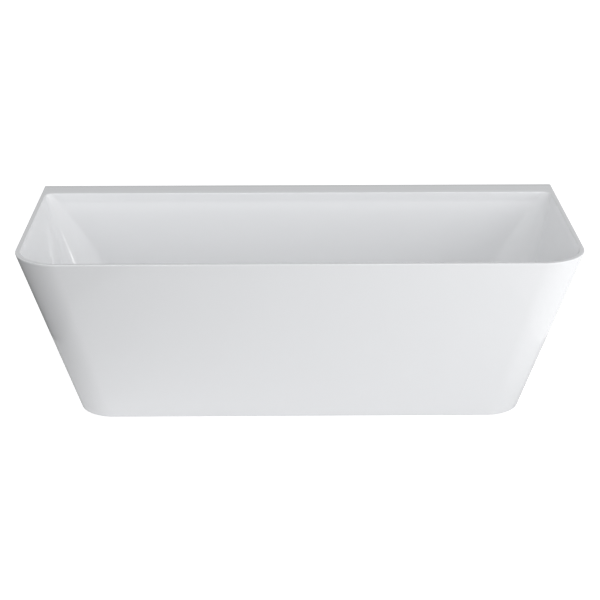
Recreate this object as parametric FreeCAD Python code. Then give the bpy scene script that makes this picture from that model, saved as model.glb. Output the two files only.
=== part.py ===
"""A back-to-wall freestanding bathtub, 1690 x 800 x 560 mm.

A vacuum-formed acrylic basin with a slim rim and a rear deck is bonded to an acrylic skirt that wraps
the front and both ends; the back is open and stands against the wall.  Both skins are stiffened with
glass-fibre laminate.  Under the basin a board, two steel rails, two cross tubes and six screw-adjusted
feet carry the load.  A press-to-close waste and a shallow pot trap drain it.

Frame: +Z up, +X along the bath, +Y towards the wall; origin on the floor at the middle of the bath's outline.
"""
import FreeCAD
import Part
import math
import os

V = FreeCAD.Vector
UP = V(0, 0, 1)

# ---------------------------------------------------------------- driving sizes, in millimetres and degrees
LENGTH = 1690.0              # rim, end to end
DEPTH = 800.0                # rim, front to wall
HEIGHT = 560.0               # floor to rim

SHEET = 4.0                  # acrylic sheet, basin and skirt
RIM = 14.0                   # width of the rim at the front and the ends
DECK = 88.0                  # width of the rear deck
RIM_ROUND = 2.5              # rounding of the rim's edges
REAR_LIP = 26.0              # height of the deck's turned-down rear edge

END_LEAN = 16.0              # skirt ends, from the vertical
FRONT_LEAN = 16.6            # skirt front, from the vertical
RIM_CORNER = 141.0           # front corners in plan, at the rim
FOOT_CORNER = 107.0          # front corners in plan, at the floor
SKIRT_GAP = 3.0              # skirt's lower edge above the floor
SKIRT_RETURN = 24.0          # inward flange along the skirt's lower and rear edges

BASIN_EXTRA_LEAN = 1.2       # basin's ends and front lean this much more than the skirt
REAR_LEAN = 11.0             # basin's rear wall, from the vertical
REAR_BAND = 28.0             # upright band at the top of the rear wall
REAR_CORNER_TOP = 25.0       # basin's rear corners at the deck
REAR_CORNER_FLOOR = 220.0    # and at the floor
FRONT_CORNER_FLOOR = 200.0   # basin's front corners at the floor
FLOOR_ROUND = 65.0           # sweep between the basin's floor and its walls

SHELL_LAMINATE = 2.5         # glass-fibre laminate under the basin
SKIRT_LAMINATE = 1.5         # and behind the skirt
LAMINATE_DROP = 8.0          # laminates start this far below the rim's sheet

BOARD = 18.0                 # board under the basin's floor
BOARD_INSET = 8.0            # board's edge inside the flat of the floor
BOARD_GAP = 1.5              # board's cut-out clear of the waste recess
BATTEN = 18.0                # skirt battens, thickness at the foot
BATTEN_HEIGHT = 60.0
DECK_BATTEN = 25.0           # batten under the deck, thickness
BATTEN_GAP = 4.0             # deck batten clear of its neighbours

TUBE = 25.0                  # square steel tube
TUBE_WALL = 2.0
TUBE_CORNER = 3.0
FRAME_CLEARANCE = 85.0       # underside of the cross tubes above the floor
TUBE_END_GAP = 8.0           # tubes' ends clear of the skirt's battens, brackets included
RAIL_SPREAD = 90.0           # rails' distance from the waste's centre line
CROSS_X = 430.0              # cross tubes' distance from the middle
CENTRE_FOOT_X = 160.0        # middle feet's distance from the middle
BOARD_SCREW_STEPS = (-150.0, 40.0)   # rail screws, from each cross tube outwards
CAP_FACE = 2.0               # tube end caps
CAP_PLUG = 12.0
CAP_GAP = 0.1

STUD_R = 6.0                 # M12 levelling stud
STUD_TOP = 12.0              # stud's end above the cross tube
NUT_AF = 19.0                # across flats, M12 nuts and stud collar
NUT_H = 9.0
PAD_R = 24.0
PAD_H = 13.0
SOLE_H = 3.0
COLLAR_H = 8.0
TURN_GAP = 0.2               # running gap between stud and pad
THREAD_GAP = 0.05            # radial gap between a thread and its nut
TUBE_HOLE_GAP = 0.5          # radial gap between a stud and the tube it passes
LONG_NUT_H = 30.0            # long nut under each middle foot's plate
PLATE_HALF = 36.0            # middle feet's plates, half their side
PLATE = 4.0
PLATE_CORNER = 8.0
PLATE_SCREW_INSET = 9.0

BOLT_R = 3.0                 # M6 frame bolts
BOLT_HOLE_GAP = 0.3
BOLT_AF = 10.0
BOLT_HEAD = 4.0
BOLT_NUT = 5.0
SCREW_R = 2.25               # wood and self-tapping screws
SCREW_HEAD_R = 4.5
SCREW_HEAD = 2.6
HOLE_GAP = 0.1               # radial clearance of a screw in its pilot hole
ACCESS_GAP = 1.5             # radial clearance of a screw's head in a tube's lower wall
SCREW_COVER = 4.0            # wood left beyond a screw's tip

STRAP = 3.0                  # steel brackets, thickness
STRAP_WIDTH = 30.0
STRAP_FOOT = 44.0            # bracket's leg under a tube
STRAP_SCREW_INSET = 10.0     # tube screw, from the leg's end
STRAP_SCREWS = (8.0, 28.0)   # wood screws above the bracket's lower end
STRAP_RISE = 10.0            # bracket's lower end above the batten's foot
FOOT_CLEAR = 8.0             # lock nuts clear of the brackets' legs
CLIP_X = 550.0               # wall clips' distance from the middle
CLIP_DROP = 43.0             # upright leg of a wall clip
CLIP_SCREW_HALF = 9.0        # half the distance between a clip's two screws
CLIP_HOLE = 27.0             # wall screw's hole below the deck batten
WALL_SCREW_R = 3.25

WASTE_FLANGE_R = 35.0
WASTE_FLANGE = 2.5
RECESS_MARGIN = 4.0          # flat seat beyond the waste's flange
RECESS_SLOPE_W = 16.0        # width of the slope round the waste recess
RECESS_DEPTH = 5.0
WASTE_R = 23.9               # waste thread, outside
WASTE_BORE = 20.0
WASTE_MOUTH = 28.0           # radius of the countersink for the plug's seal
MOUTH_DEPTH = 5.0
WASTE_SEAL = 1.5
WASTE_HOLE_GAP = 1.0
BACK_NUT_H = 10.0
BACK_NUT_WALL = 5.0
BOTTOM_SEAL = 3.0
SPIDER_H = 8.0               # four-armed carrier inside the waste
SPIDER_ARM = 3.0

PLUG_R = 33.0
PLUG_H = 6.0
PLUG_LIFT = 8.0              # plug's travel from open to closed
PLUG_REST = 0.5              # closed plug above the waste's flange
PLUG_SEAL = 2.8
SEAT_GAP = 0.4               # closed plug's seal clear of its seat, level
STEM_CAP = 2.5               # stem's end inside the cap
STEM_R = 4.0
SLIDE_GAP = 0.25             # radial gap between stem and cartridge
CARTRIDGE_R = 8.0
CARTRIDGE_H = 44.0
CARTRIDGE_END = 2.0
CARTRIDGE_HEAD = 4.0         # cartridge above the spider
SPRING_WIRE = 0.5            # radius
SPRING_TURNS = 6.5
SPRING_H = 22.0

TRAP_GAP = 10.0              # trap above the floor
TRAP_H = 88.0
TRAP_HALF = 32.0             # half the pot's width
TRAP_RUN = 64.0              # distance between the pot's end centres
TRAP_WALL = 3.0
TRAP_NECK = 14.0
TRAP_NECK_WALL = 3.5
TRAP_FLANGE = 4.0
TRAP_LEDGE = 1.6             # neck flange beyond the waste's thread
TRAP_WASHER = 3.0
BAFFLE_GAP = 14.0            # water passage under the trap's baffle
PIPE_R = 21.6                # socket for a 43 mm waste pipe
SOCKET_WALL = 3.4
SOCKET_L = 30.0
GRIP = 5.5                   # thickness of the trap nuts' ribbed walls
UNION_H = 26.0
NUT_LIP = 4.0                # trap nuts' inward lips
OUTLET_NUT_L = 22.0
EYE_R = 19.0                 # cleaning eye
EYE_L = 10.0
EYE_CAP_L = 12.0

# ---------------------------------------------------------------- levels and places worked out from them
end_slope = math.tan(math.radians(END_LEAN))
front_slope = math.tan(math.radians(FRONT_LEAN))
basin_end_slope = math.tan(math.radians(END_LEAN + BASIN_EXTRA_LEAN))
basin_front_slope = math.tan(math.radians(FRONT_LEAN + BASIN_EXTRA_LEAN))
rear_slope = math.tan(math.radians(REAR_LEAN))
level_end = math.hypot(1, end_slope)              # a sheet's level thickness in each wall, as a multiple
level_front = math.hypot(1, front_slope)

cross_z = FRAME_CLEARANCE                         # underside of each layer of the frame
rail_z = cross_z + TUBE
board_z = rail_z + TUBE
laminate_z = board_z + BOARD
skins = SHEET + SHELL_LAMINATE
floor_z = laminate_z + skins                      # bathing surface of the basin's floor
basin_deep = HEIGHT - floor_z
deck_z = HEIGHT - SHEET                           # underside of the rim's sheet
wall_y = DEPTH / 2
inner_y = wall_y - SHEET                          # front of the skirt's rear flanges
batten_z = SKIRT_GAP + SHEET                      # skirt battens stand on its lower flange
deck_batten_z = deck_z - DECK_BATTEN
clip_y = wall_y - DECK / 2

floor_half = LENGTH / 2 - RIM - basin_end_slope * basin_deep
floor_front = -DEPTH / 2 + RIM + basin_front_slope * basin_deep
floor_rear = wall_y - DECK - rear_slope * (basin_deep - REAR_BAND)
waste_y = (floor_front + floor_rear) / 2
rail_front_y = waste_y - RAIL_SPREAD
rail_rear_y = waste_y + RAIL_SPREAD


def skirt_half(z, inset=0.0):
    """Half the skirt's length at height z, or of a face that lies inset behind the sheet's outer one."""
    return LENGTH / 2 - end_slope * max(0.0, deck_z - z) - inset * level_end


def skirt_front(z, inset=0.0):
    return -DEPTH / 2 + front_slope * max(0.0, deck_z - z) + inset * level_front


batten_front_y = skirt_front(batten_z, SHEET) + BATTEN        # battens' inner faces
batten_end_x = skirt_half(batten_z, SHEET) - BATTEN
rail_half = batten_end_x - TUBE_END_GAP
cross_half = waste_y - batten_front_y - TUBE_END_GAP
foot_spread = waste_y - batten_front_y - STRAP_FOOT - FOOT_CLEAR - NUT_AF * 0.56
long_nut_z = board_z - PLATE - LONG_NUT_H
stud_end_z = cross_z + TUBE + STUD_TOP
socket_z = SOLE_H + PAD_H * 0.4                               # floor of the pad's socket
board_grip = BOARD - SCREW_COVER
clip_grip = DECK_BATTEN - SCREW_COVER

seat_z = floor_z - RECESS_DEPTH                               # waste recess, upper face
flange_z = seat_z + WASTE_SEAL                                # underside of the waste's flange
flange_top = flange_z + WASTE_FLANGE
under_z = seat_z - skins                                      # laminate's lower face under the recess
nut_top = under_z - BOTTOM_SEAL
recess_seat_r = WASTE_FLANGE_R + RECESS_MARGIN
recess_top_r = recess_seat_r + RECESS_SLOPE_W
board_cutout = recess_top_r + skins + BOARD_GAP

trap_top = TRAP_GAP + TRAP_H
neck_top = trap_top + TRAP_NECK
tail_z = neck_top + TRAP_WASHER                               # lower end of the waste body
neck_bore = WASTE_BORE - 1
neck_r = neck_bore + TRAP_NECK_WALL
neck_flange_r = WASTE_R + TRAP_LEDGE
socket_r = PIPE_R + SOCKET_WALL
outlet_z = trap_top - TRAP_WALL - socket_r - 1
socket_end = waste_y + TRAP_RUN + TRAP_HALF + SOCKET_L
eye_end = waste_y - TRAP_HALF - EYE_L

spider_z = tail_z + 2
cartridge_top = spider_z + SPIDER_H + CARTRIDGE_HEAD
cartridge_z = cartridge_top - CARTRIDGE_H
stem_end = cartridge_z + CARTRIDGE_END + SPRING_H
plug_z = flange_top + PLUG_REST + PLUG_LIFT                   # plug cap's underside, open


def export(name, shape):
    """Write one sub-part, after making sure that it is sound and closed."""
    solids = shape.Solids
    if not solids or not shape.isValid() or min(s.Volume for s in solids) <= 0:
        raise ValueError(name + " is not a sound solid")
    whole = solids[0] if len(solids) == 1 else Part.Compound(solids)
    whole.exportStep("parts/" + name + ".step")
    print("%-22s solids %2d  volume %12.0f" % (name, len(solids), whole.Volume))


# ---------------------------------------------------------------- shapes that many pieces share
def corner_arc(cx, cy, r, start, z):
    points = []
    for turn in (start, start + 45, start + 90):
        a = math.radians(turn)
        points.append(V(cx + r * math.cos(a), cy + r * math.sin(a), z))
    return points


def outline(half, front, rear, front_r, rear_r, z):
    """Closed plan outline, straight sides and round corners; rear_r of 0 leaves the rear corners square."""
    corners = [corner_arc(half - front_r, front + front_r, front_r, 270, z)]
    if rear_r:
        corners.append(corner_arc(half - rear_r, rear - rear_r, rear_r, 0, z))
        corners.append(corner_arc(-half + rear_r, rear - rear_r, rear_r, 90, z))
    else:
        corners += [[V(half, rear, z)], [V(-half, rear, z)]]
    corners.append(corner_arc(-half + front_r, front + front_r, front_r, 180, z))
    edges = []
    for here, following in zip(corners, corners[1:] + corners[:1]):
        if len(here) == 3:
            edges.append(Part.Arc(*here).toShape())
        edges.append(Part.makeLine(here[-1], following[0]))
    return Part.Wire(edges)


def skirt_outline(z, inset, rear):
    share = max(0.0, deck_z - z) / deck_z
    corner = RIM_CORNER + (FOOT_CORNER - RIM_CORNER) * share
    return outline(skirt_half(z, inset), skirt_front(z, inset), rear, corner - inset, 0, z)


def skirt_block(z0, z1, inset=0.0, rear=wall_y):
    """Solid block between two levels, bounded by the skirt's outline or by one that lies inset behind it."""
    return Part.makeLoft([skirt_outline(z1, inset, rear), skirt_outline(z0, inset, rear)], True, True)


def basin_outline(z, skin):
    """The bathing surface's outline at height z, grown by a skin's thickness."""
    down = HEIGHT - z
    share = down / basin_deep
    front_top = RIM_CORNER - RIM
    front_r = front_top + (FRONT_CORNER_FLOOR - front_top) * share
    rear_r = REAR_CORNER_TOP + (REAR_CORNER_FLOOR - REAR_CORNER_TOP) * share
    half = LENGTH / 2 - RIM - basin_end_slope * down + skin * math.hypot(1, basin_end_slope)
    front = -DEPTH / 2 + RIM + basin_front_slope * down - skin * math.hypot(1, basin_front_slope)
    rear = wall_y - DECK - rear_slope * max(0.0, down - REAR_BAND) + skin * math.hypot(1, rear_slope)
    return outline(half, front, rear, front_r + skin, rear_r + skin, z)


def basin_block(skin):
    """The basin's hollow as a solid, grown by a skin: walls, swept floor edge and waste recess."""
    low = floor_z - skin
    levels = (HEIGHT, HEIGHT - REAR_BAND, low)
    block = Part.makeLoft([basin_outline(z, skin) for z in levels], True, True)
    foot = [e for e in block.Edges if all(abs(v.Z - low) < 0.01 for v in e.Vertexes)]
    block = block.makeFillet(FLOOR_ROUND + skin, foot)
    recess = Part.makeCone(recess_seat_r + skin, recess_top_r + skin, RECESS_DEPTH,
                           V(0, waste_y, low - RECESS_DEPTH))
    return block.fuse(recess)


def cylinder(r, x, y, z0, z1):
    return Part.makeCylinder(r, z1 - z0, V(x, y, z0))


def along_y(r, z, y0, y1):
    return Part.makeCylinder(r, y1 - y0, V(0, y0, z), V(0, 1, 0))


def ring(r_out, r_in, x, y, z0, z1):
    return cylinder(r_out, x, y, z0, z1).cut(cylinder(r_in, x, y, z0, z1))


def box(x0, x1, y0, y1, z0, z1):
    return Part.makeBox(x1 - x0, y1 - y0, z1 - z0, V(x0, y0, z0))


def hexagon(across_flats, x, y, z0, z1):
    """Hexagonal prism with its corners turned off."""
    r = across_flats / math.sqrt(3)
    points = [V(x, y, z0) + direction(60 * i) * r for i in range(7)]
    prism = Part.Face(Part.makePolygon(points)).extrude(UP * (z1 - z0))
    return prism.common(cylinder(across_flats * 0.56, x, y, z0, z1))


def nut(across_flats, bore, x, y, z0, z1):
    return hexagon(across_flats, x, y, z0, z1).cut(cylinder(bore, x, y, z0, z1))


def revolve(points, x=0.0, y=0.0):
    """Turn a closed profile of (radius, z) points about a vertical axis."""
    profile = Part.makePolygon([V(r, 0, z) for r, z in points + points[:1]])
    turned = Part.Face(profile).revolve(V(0, 0, 0), UP, 360)
    turned.translate(V(x, y, 0))
    return turned


def rounded_bar(length, size, corner):
    """Square bar along +X, its lower face on z = 0, centred on y = 0."""
    bar = Part.makeBox(length, size, size, V(0, -size / 2, 0))
    long_edges = [e for e in bar.Edges if abs(e.tangentAt(e.FirstParameter).x) > 0.99]
    return bar.makeFillet(corner, long_edges)


def square_tube(start, length, turn=0):
    """Square steel tube from its start point along +X, or turned about +Z."""
    core = rounded_bar(length, TUBE - 2 * TUBE_WALL, TUBE_CORNER - TUBE_WALL)
    core.translate(V(0, 0, TUBE_WALL))
    return placed(rounded_bar(length, TUBE, TUBE_CORNER).cut(core), start, turn)


def placed(shape, point, turn):
    copy = shape.copy()
    copy.rotate(V(0, 0, 0), UP, turn)
    copy.translate(point)
    return copy


def direction(turn):
    return V(math.cos(math.radians(turn)), math.sin(math.radians(turn)), 0)


def screw(seat, along, length):
    """Pan-head screw whose head rests on the seat; its shank runs along the given direction."""
    shank = Part.makeCylinder(SCREW_R, length)
    head = Part.makeCylinder(SCREW_HEAD_R, SCREW_HEAD, V(0, 0, -SCREW_HEAD))
    rim = [e for e in head.Edges if e.Closed and abs(e.Vertexes[0].Z + SCREW_HEAD) < 0.01]
    whole = shank.fuse(head.makeFillet(SCREW_HEAD * 0.45, rim))
    whole.Placement = FreeCAD.Placement(seat, FreeCAD.Rotation(UP, along))
    return whole


def drilled(shape, screws):
    """Cut a pilot hole for each (seat, direction, length) of a list of screws."""
    holes = []
    for seat, along, length in screws:
        holes.append(Part.makeCylinder(SCREW_R + HOLE_GAP, length + HOLE_GAP, seat, along))
    return shape.cut(holes)


def screws_at(places):
    return Part.Compound([screw(seat, along, length) for seat, along, length in places])


# ---------------------------------------------------------------- places that two or more pieces share
def cross_feet():
    """(x, y) of the four feet under the cross tubes."""
    return [(x, waste_y + side * foot_spread) for x in (-CROSS_X, CROSS_X) for side in (-1, 1)]


def centre_feet():
    return [(-CENTRE_FOOT_X, waste_y), (CENTRE_FOOT_X, waste_y)]


def frame_bolt_places():
    return [(x, y) for x in (-CROSS_X, CROSS_X) for y in (rail_front_y, rail_rear_y)]


def rail_screws(y):
    """Screws from inside a rail up into the board."""
    found = []
    for side in (-1, 1):
        for step in BOARD_SCREW_STEPS:
            seat = V(side * (CROSS_X + step), y, board_z - TUBE_WALL)
            found.append((seat, UP, TUBE_WALL + board_grip))
    return found


def plate_screws():
    reach = PLATE_HALF - PLATE_SCREW_INSET
    found = []
    for x, y in centre_feet():
        for i in (-1, 1):
            for j in (-1, 1):
                found.append((V(x + i * reach, y + j * reach, board_z - PLATE), UP, PLATE + board_grip))
    return found


def bracket_stations():
    """Each skirt bracket: (point on the batten's face at the tube's underside, outward turn, drop)."""
    low = batten_z + STRAP_RISE
    found = []
    for x in (-CROSS_X, CROSS_X):
        found.append((V(x, batten_front_y, cross_z), 270, cross_z - low))
    for side, turn in ((-1, 180), (1, 0)):
        for y in (rail_front_y, rail_rear_y):
            found.append((V(side * batten_end_x, y, rail_z), turn, rail_z - low))
    return found


def bracket_wood_screws():
    """From the bracket's upright into the batten."""
    found = []
    for point, turn, drop in bracket_stations():
        out = direction(turn)
        for up in STRAP_SCREWS:
            found.append((point - out * STRAP - UP * (drop - up), out, STRAP + BATTEN - SCREW_COVER))
    return found


def bracket_tube_screws():
    """From below through the bracket's leg into the tube's lower wall."""
    found = []
    for point, turn, _ in bracket_stations():
        seat = point - direction(turn) * (STRAP_FOOT - STRAP_SCREW_INSET) - UP * STRAP
        found.append((seat, UP, STRAP + TUBE_WALL + 4))
    return found


def clip_screws():
    found = []
    for x in (-CLIP_X, CLIP_X):
        for side in (-1, 1):
            seat = V(x + side * CLIP_SCREW_HALF, clip_y, deck_batten_z - STRAP)
            found.append((seat, UP, STRAP + clip_grip))
    return found


# ---------------------------------------------------------------- shell and skirt
def make_inner_shell():
    lip = box(-LENGTH / 2, LENGTH / 2, inner_y, wall_y, HEIGHT - REAR_LIP, deck_z)
    lip = lip.common(skirt_block(HEIGHT - REAR_LIP, deck_z, SHEET + SKIRT_RETURN + 1))
    rim_sheet = Part.Face(skirt_outline(deck_z, 0.0, wall_y)).extrude(UP * SHEET)
    shell = rim_sheet.fuse([lip, basin_block(SHEET)]).removeSplitter()
    shell = shell.cut([basin_block(0.0), cylinder(WASTE_R + WASTE_HOLE_GAP, 0, waste_y, 0, floor_z)])
    top = [e for e in shell.Edges if all(abs(v.Z - HEIGHT) < 0.01 for v in e.Vertexes)]
    rounded = [e for e in top if abs(e.CenterOfMass.y - wall_y) > 0.01]
    return shell.makeFillet(RIM_ROUND, rounded)


def make_shell_laminate():
    above = box(-LENGTH, LENGTH, -DEPTH, DEPTH, deck_z - LAMINATE_DROP, HEIGHT + 1)
    hole = cylinder(WASTE_R + WASTE_HOLE_GAP, 0, waste_y, 0, floor_z)
    return basin_block(skins).cut([basin_block(SHEET), above, hole])


def make_outer_skirt():
    """Front and ends in one sheet, with a flange inwards along its lower and rear edges."""
    hollow = skirt_block(batten_z, deck_z, SHEET, inner_y)
    opening = skirt_block(SKIRT_GAP, deck_z, SHEET + SKIRT_RETURN, DEPTH)
    return skirt_block(SKIRT_GAP, deck_z).cut([hollow, opening])


def make_skirt_laminate():
    low = batten_z + BATTEN_HEIGHT
    high = deck_z - LAMINATE_DROP
    hollow = skirt_block(low, high, SHEET + SKIRT_LAMINATE, DEPTH)
    return skirt_block(low, high, SHEET, inner_y).cut(hollow)


def make_battens():
    """Three boards inside the skirt's foot: front, left and right."""
    z1 = batten_z + BATTEN_HEIGHT
    inside = skirt_block(batten_z, z1, SHEET, inner_y)
    half = skirt_half(batten_z) - FOOT_CORNER
    start = skirt_front(batten_z) + FOOT_CORNER
    blanks = [box(-half, half, -DEPTH, batten_front_y, batten_z, z1),
              box(-LENGTH, -batten_end_x, start, inner_y, batten_z, z1),
              box(batten_end_x, LENGTH, start, inner_y, batten_z, z1)]
    return [drilled(blank.common(inside), bracket_wood_screws()) for blank in blanks]


def make_deck_batten():
    front = wall_y - DECK + skins * math.hypot(1, rear_slope) + BATTEN_GAP
    half = LENGTH / 2 - RIM - REAR_CORNER_TOP
    batten = box(-half, half, front, inner_y - BATTEN_GAP, deck_batten_z, deck_z)
    batten = batten.common(skirt_block(deck_batten_z, deck_z, SHEET + SKIRT_RETURN + BATTEN_GAP))
    return drilled(batten, clip_screws())


def make_base_board():
    edge = FLOOR_ROUND + BOARD_INSET
    corner = min(FRONT_CORNER_FLOOR, REAR_CORNER_FLOOR) - edge
    wire = outline(floor_half - edge, floor_front + edge, floor_rear - edge, corner, corner, board_z)
    board = Part.Face(wire).extrude(UP * BOARD)
    board = board.cut(cylinder(board_cutout, 0, waste_y, board_z, laminate_z))
    return drilled(board, rail_screws(rail_front_y) + rail_screws(rail_rear_y) + plate_screws())


# ---------------------------------------------------------------- frame
def make_rail(y):
    rail = square_tube(V(-rail_half, y, rail_z), 2 * rail_half)
    top = rail_z + TUBE_WALL
    holes = [cylinder(SCREW_HEAD_R + ACCESS_GAP, seat.x, y, rail_z, top) for seat, _, _ in rail_screws(y)]
    holes += [cylinder(BOLT_R + BOLT_HOLE_GAP, x, y, rail_z, top) for x in (-CROSS_X, CROSS_X)]
    near = [place for place in bracket_tube_screws() if abs(place[0].y - y) < 1]
    return drilled(rail.cut(holes), rail_screws(y) + near)


def make_cross_tube(side):
    x = side * CROSS_X
    tube = square_tube(V(x, waste_y - cross_half, cross_z), 2 * cross_half, 90)
    stud_places = (waste_y - foot_spread, waste_y + foot_spread)
    holes = [cylinder(STUD_R + TUBE_HOLE_GAP, x, y, cross_z, rail_z) for y in stud_places]
    holes += [cylinder(BOLT_R + BOLT_HOLE_GAP, x, y, cross_z, rail_z) for y in (rail_front_y, rail_rear_y)]
    return drilled(tube.cut(holes), bracket_tube_screws())


def make_tube_end_caps():
    """Plastic plugs pressed into every open tube end."""
    plug = rounded_bar(CAP_PLUG, TUBE - 2 * (TUBE_WALL + CAP_GAP), TUBE_CORNER - TUBE_WALL)
    plug.translate(V(-CAP_PLUG, 0, TUBE_WALL + CAP_GAP))
    cap = rounded_bar(CAP_FACE, TUBE, TUBE_CORNER).fuse(plug)
    caps = []
    for y in (rail_front_y, rail_rear_y):
        caps.append(placed(cap, V(rail_half, y, rail_z), 0))
        caps.append(placed(cap, V(-rail_half, y, rail_z), 180))
    for x in (-CROSS_X, CROSS_X):
        caps.append(placed(cap, V(x, waste_y + cross_half, cross_z), 90))
        caps.append(placed(cap, V(x, waste_y - cross_half, cross_z), 270))
    return Part.Compound(caps)


def make_frame_bolts():
    bolts = []
    for x, y in frame_bolt_places():
        shank = cylinder(BOLT_R, x, y, cross_z, rail_z + TUBE_WALL + BOLT_NUT + 2)
        bolts.append(shank.fuse(hexagon(BOLT_AF, x, y, cross_z - BOLT_HEAD, cross_z)))
    return Part.Compound(bolts)


def make_frame_nuts():
    z = rail_z + TUBE_WALL
    places = frame_bolt_places()
    return Part.Compound([nut(BOLT_AF, BOLT_R + THREAD_GAP, x, y, z, z + BOLT_NUT) for x, y in places])


def make_centre_leg_plates():
    """Plate with a long nut welded under it, for each of the middle feet."""
    plates = []
    for x, y in centre_feet():
        low = board_z - PLATE
        plate = box(x - PLATE_HALF, x + PLATE_HALF, y - PLATE_HALF, y + PLATE_HALF, low, board_z)
        corners = [e for e in plate.Edges if abs(e.tangentAt(e.FirstParameter).z) > 0.99]
        plate = plate.makeFillet(PLATE_CORNER, corners).fuse(hexagon(NUT_AF, x, y, long_nut_z, low))
        plates.append(plate.cut(cylinder(STUD_R + THREAD_GAP, x, y, long_nut_z, board_z)))
    return drilled(Part.Compound(plates), plate_screws())


def strap_bracket(leg, drop):
    """Steel angle: its upright's back is on x = 0 and hangs down, its leg runs along -X under z = 0."""
    upright = Part.makeBox(STRAP, STRAP_WIDTH, drop, V(-STRAP, -STRAP_WIDTH / 2, -drop))
    level = Part.makeBox(leg, STRAP_WIDTH, STRAP, V(-leg, -STRAP_WIDTH / 2, -STRAP))
    angle = upright.fuse(level).removeSplitter()
    bend = [e for e in angle.Edges if abs(e.CenterOfMass.x) < 0.01 and abs(e.CenterOfMass.z) < 0.01]
    return angle.makeFillet(STRAP * 0.9, bend)


def make_skirt_brackets():
    brackets = []
    for point, turn, drop in bracket_stations():
        brackets.append(placed(strap_bracket(STRAP_FOOT, drop), point, turn))
    return drilled(Part.Compound(brackets), bracket_wood_screws() + bracket_tube_screws())


def make_wall_clips():
    """Two angles under the deck, each with a hole for a screw into the wall."""
    clips = []
    for x in (-CLIP_X, CLIP_X):
        clip = strap_bracket(DECK / 2 + STRAP_SCREW_INSET, CLIP_DROP)
        clip = placed(clip, V(x, wall_y, deck_batten_z), 90)
        hole_start = V(x, wall_y - STRAP, deck_batten_z - CLIP_HOLE)
        clips.append(clip.cut(Part.makeCylinder(WALL_SCREW_R, STRAP, hole_start, V(0, 1, 0))))
    return drilled(Part.Compound(clips), clip_screws())


# ---------------------------------------------------------------- feet
def make_levelling_nuts():
    """Nuts welded on top of the cross tubes."""
    top = rail_z + NUT_H
    return Part.Compound([nut(NUT_AF, STUD_R + THREAD_GAP, x, y, rail_z, top) for x, y in cross_feet()])


def make_lock_nuts():
    nuts = []
    for places, top in ((cross_feet(), cross_z), (centre_feet(), long_nut_z)):
        nuts += [nut(NUT_AF, STUD_R + THREAD_GAP, x, y, top - NUT_H, top) for x, y in places]
    return Part.Compound(nuts)


def make_sole(x, y):
    return revolve([(0, 0), (PAD_R - 0.8, 0), (PAD_R, 0.8), (PAD_R, SOLE_H), (0, SOLE_H)], x, y)


def make_pad(x, y):
    """Moulded pad with a socket for the stud's end."""
    hole = STUD_R + TURN_GAP
    top = SOLE_H + PAD_H
    profile = [(0, SOLE_H), (PAD_R, SOLE_H), (PAD_R, SOLE_H + 3), (PAD_R - 5, SOLE_H + 5.5),
               (hole + 5, top - 1), (hole + 4, top), (hole, top), (hole, socket_z), (0, socket_z)]
    return revolve(profile, x, y)


def make_stud(x, y):
    """Levelling stud with chamfered ends and a spanner collar just above the pad."""
    collar_z = SOLE_H + PAD_H + TURN_GAP
    low = socket_z + TURN_GAP
    chamfer = 1.2
    profile = [(0, low), (STUD_R - chamfer, low), (STUD_R, low + chamfer),
               (STUD_R, stud_end_z - chamfer), (STUD_R - chamfer, stud_end_z), (0, stud_end_z)]
    return revolve(profile, x, y).fuse(hexagon(NUT_AF - 2, x, y, collar_z, collar_z + COLLAR_H))


# ---------------------------------------------------------------- waste and plug
def make_waste_body():
    """One brass piece: flange, threaded tail and the four-armed spider that holds the cartridge."""
    shell = [(WASTE_BORE, tail_z), (WASTE_R, tail_z), (WASTE_R, flange_z),
             (WASTE_FLANGE_R - 0.8, flange_z), (WASTE_FLANGE_R, flange_z + 0.8),
             (WASTE_FLANGE_R - 1.5, flange_top), (WASTE_MOUTH, flange_top),
             (WASTE_BORE, flange_top - MOUTH_DEPTH)]
    top = spider_z + SPIDER_H
    arm = WASTE_BORE + 1
    half = SPIDER_ARM / 2
    spider = [cylinder(CARTRIDGE_R + 3, 0, waste_y, spider_z, top),
              box(-arm, arm, waste_y - half, waste_y + half, spider_z, top),
              box(-half, half, waste_y - arm, waste_y + arm, spider_z, top)]
    body = revolve(shell, 0, waste_y).fuse(spider)
    return body.cut(cylinder(CARTRIDGE_R + THREAD_GAP, 0, waste_y, spider_z, top))


def make_waste_top_seal():
    return ring(WASTE_FLANGE_R - 1, WASTE_R + 0.2, 0, waste_y, seat_z, flange_z)


def make_waste_bottom_seal():
    return ring(WASTE_R + BACK_NUT_WALL, WASTE_R + 0.2, 0, waste_y, nut_top, under_z)


def make_waste_back_nut():
    return nut(2 * (WASTE_R + BACK_NUT_WALL), WASTE_R + THREAD_GAP, 0, waste_y, nut_top - BACK_NUT_H, nut_top)


def make_plug_cap():
    """Shallow dome with a rolled edge, screwed onto the stem."""
    r, z = PLUG_R, plug_z
    dome = PLUG_H / 2
    profile = [(STEM_R, z + STEM_CAP), (STEM_R, z), (r - 2, z), (r - 0.5, z + 0.6), (r, z + 1.8),
               (r - 0.6, z + dome)]
    for i in range(1, 7):
        a = math.radians(90 * i / 6)
        profile.append(((r - 0.6) * math.cos(a), z + dome + dome * math.sin(a)))
    profile.append((0, z + STEM_CAP))
    return revolve(profile, 0, waste_y)


def make_plug_seal():
    """Rubber disc under the cap; its bevel follows the countersink that it closes."""
    widen = (WASTE_MOUTH - WASTE_BORE) / MOUTH_DEPTH
    low_r = WASTE_MOUTH - widen * (PLUG_SEAL - PLUG_REST) - SEAT_GAP
    bevel = 1.2
    z = plug_z - PLUG_SEAL
    full_r = low_r + widen * bevel
    profile = [(STEM_R, z), (low_r, z), (full_r, z + bevel), (full_r, plug_z), (STEM_R, plug_z)]
    return revolve(profile, 0, waste_y)


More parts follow.
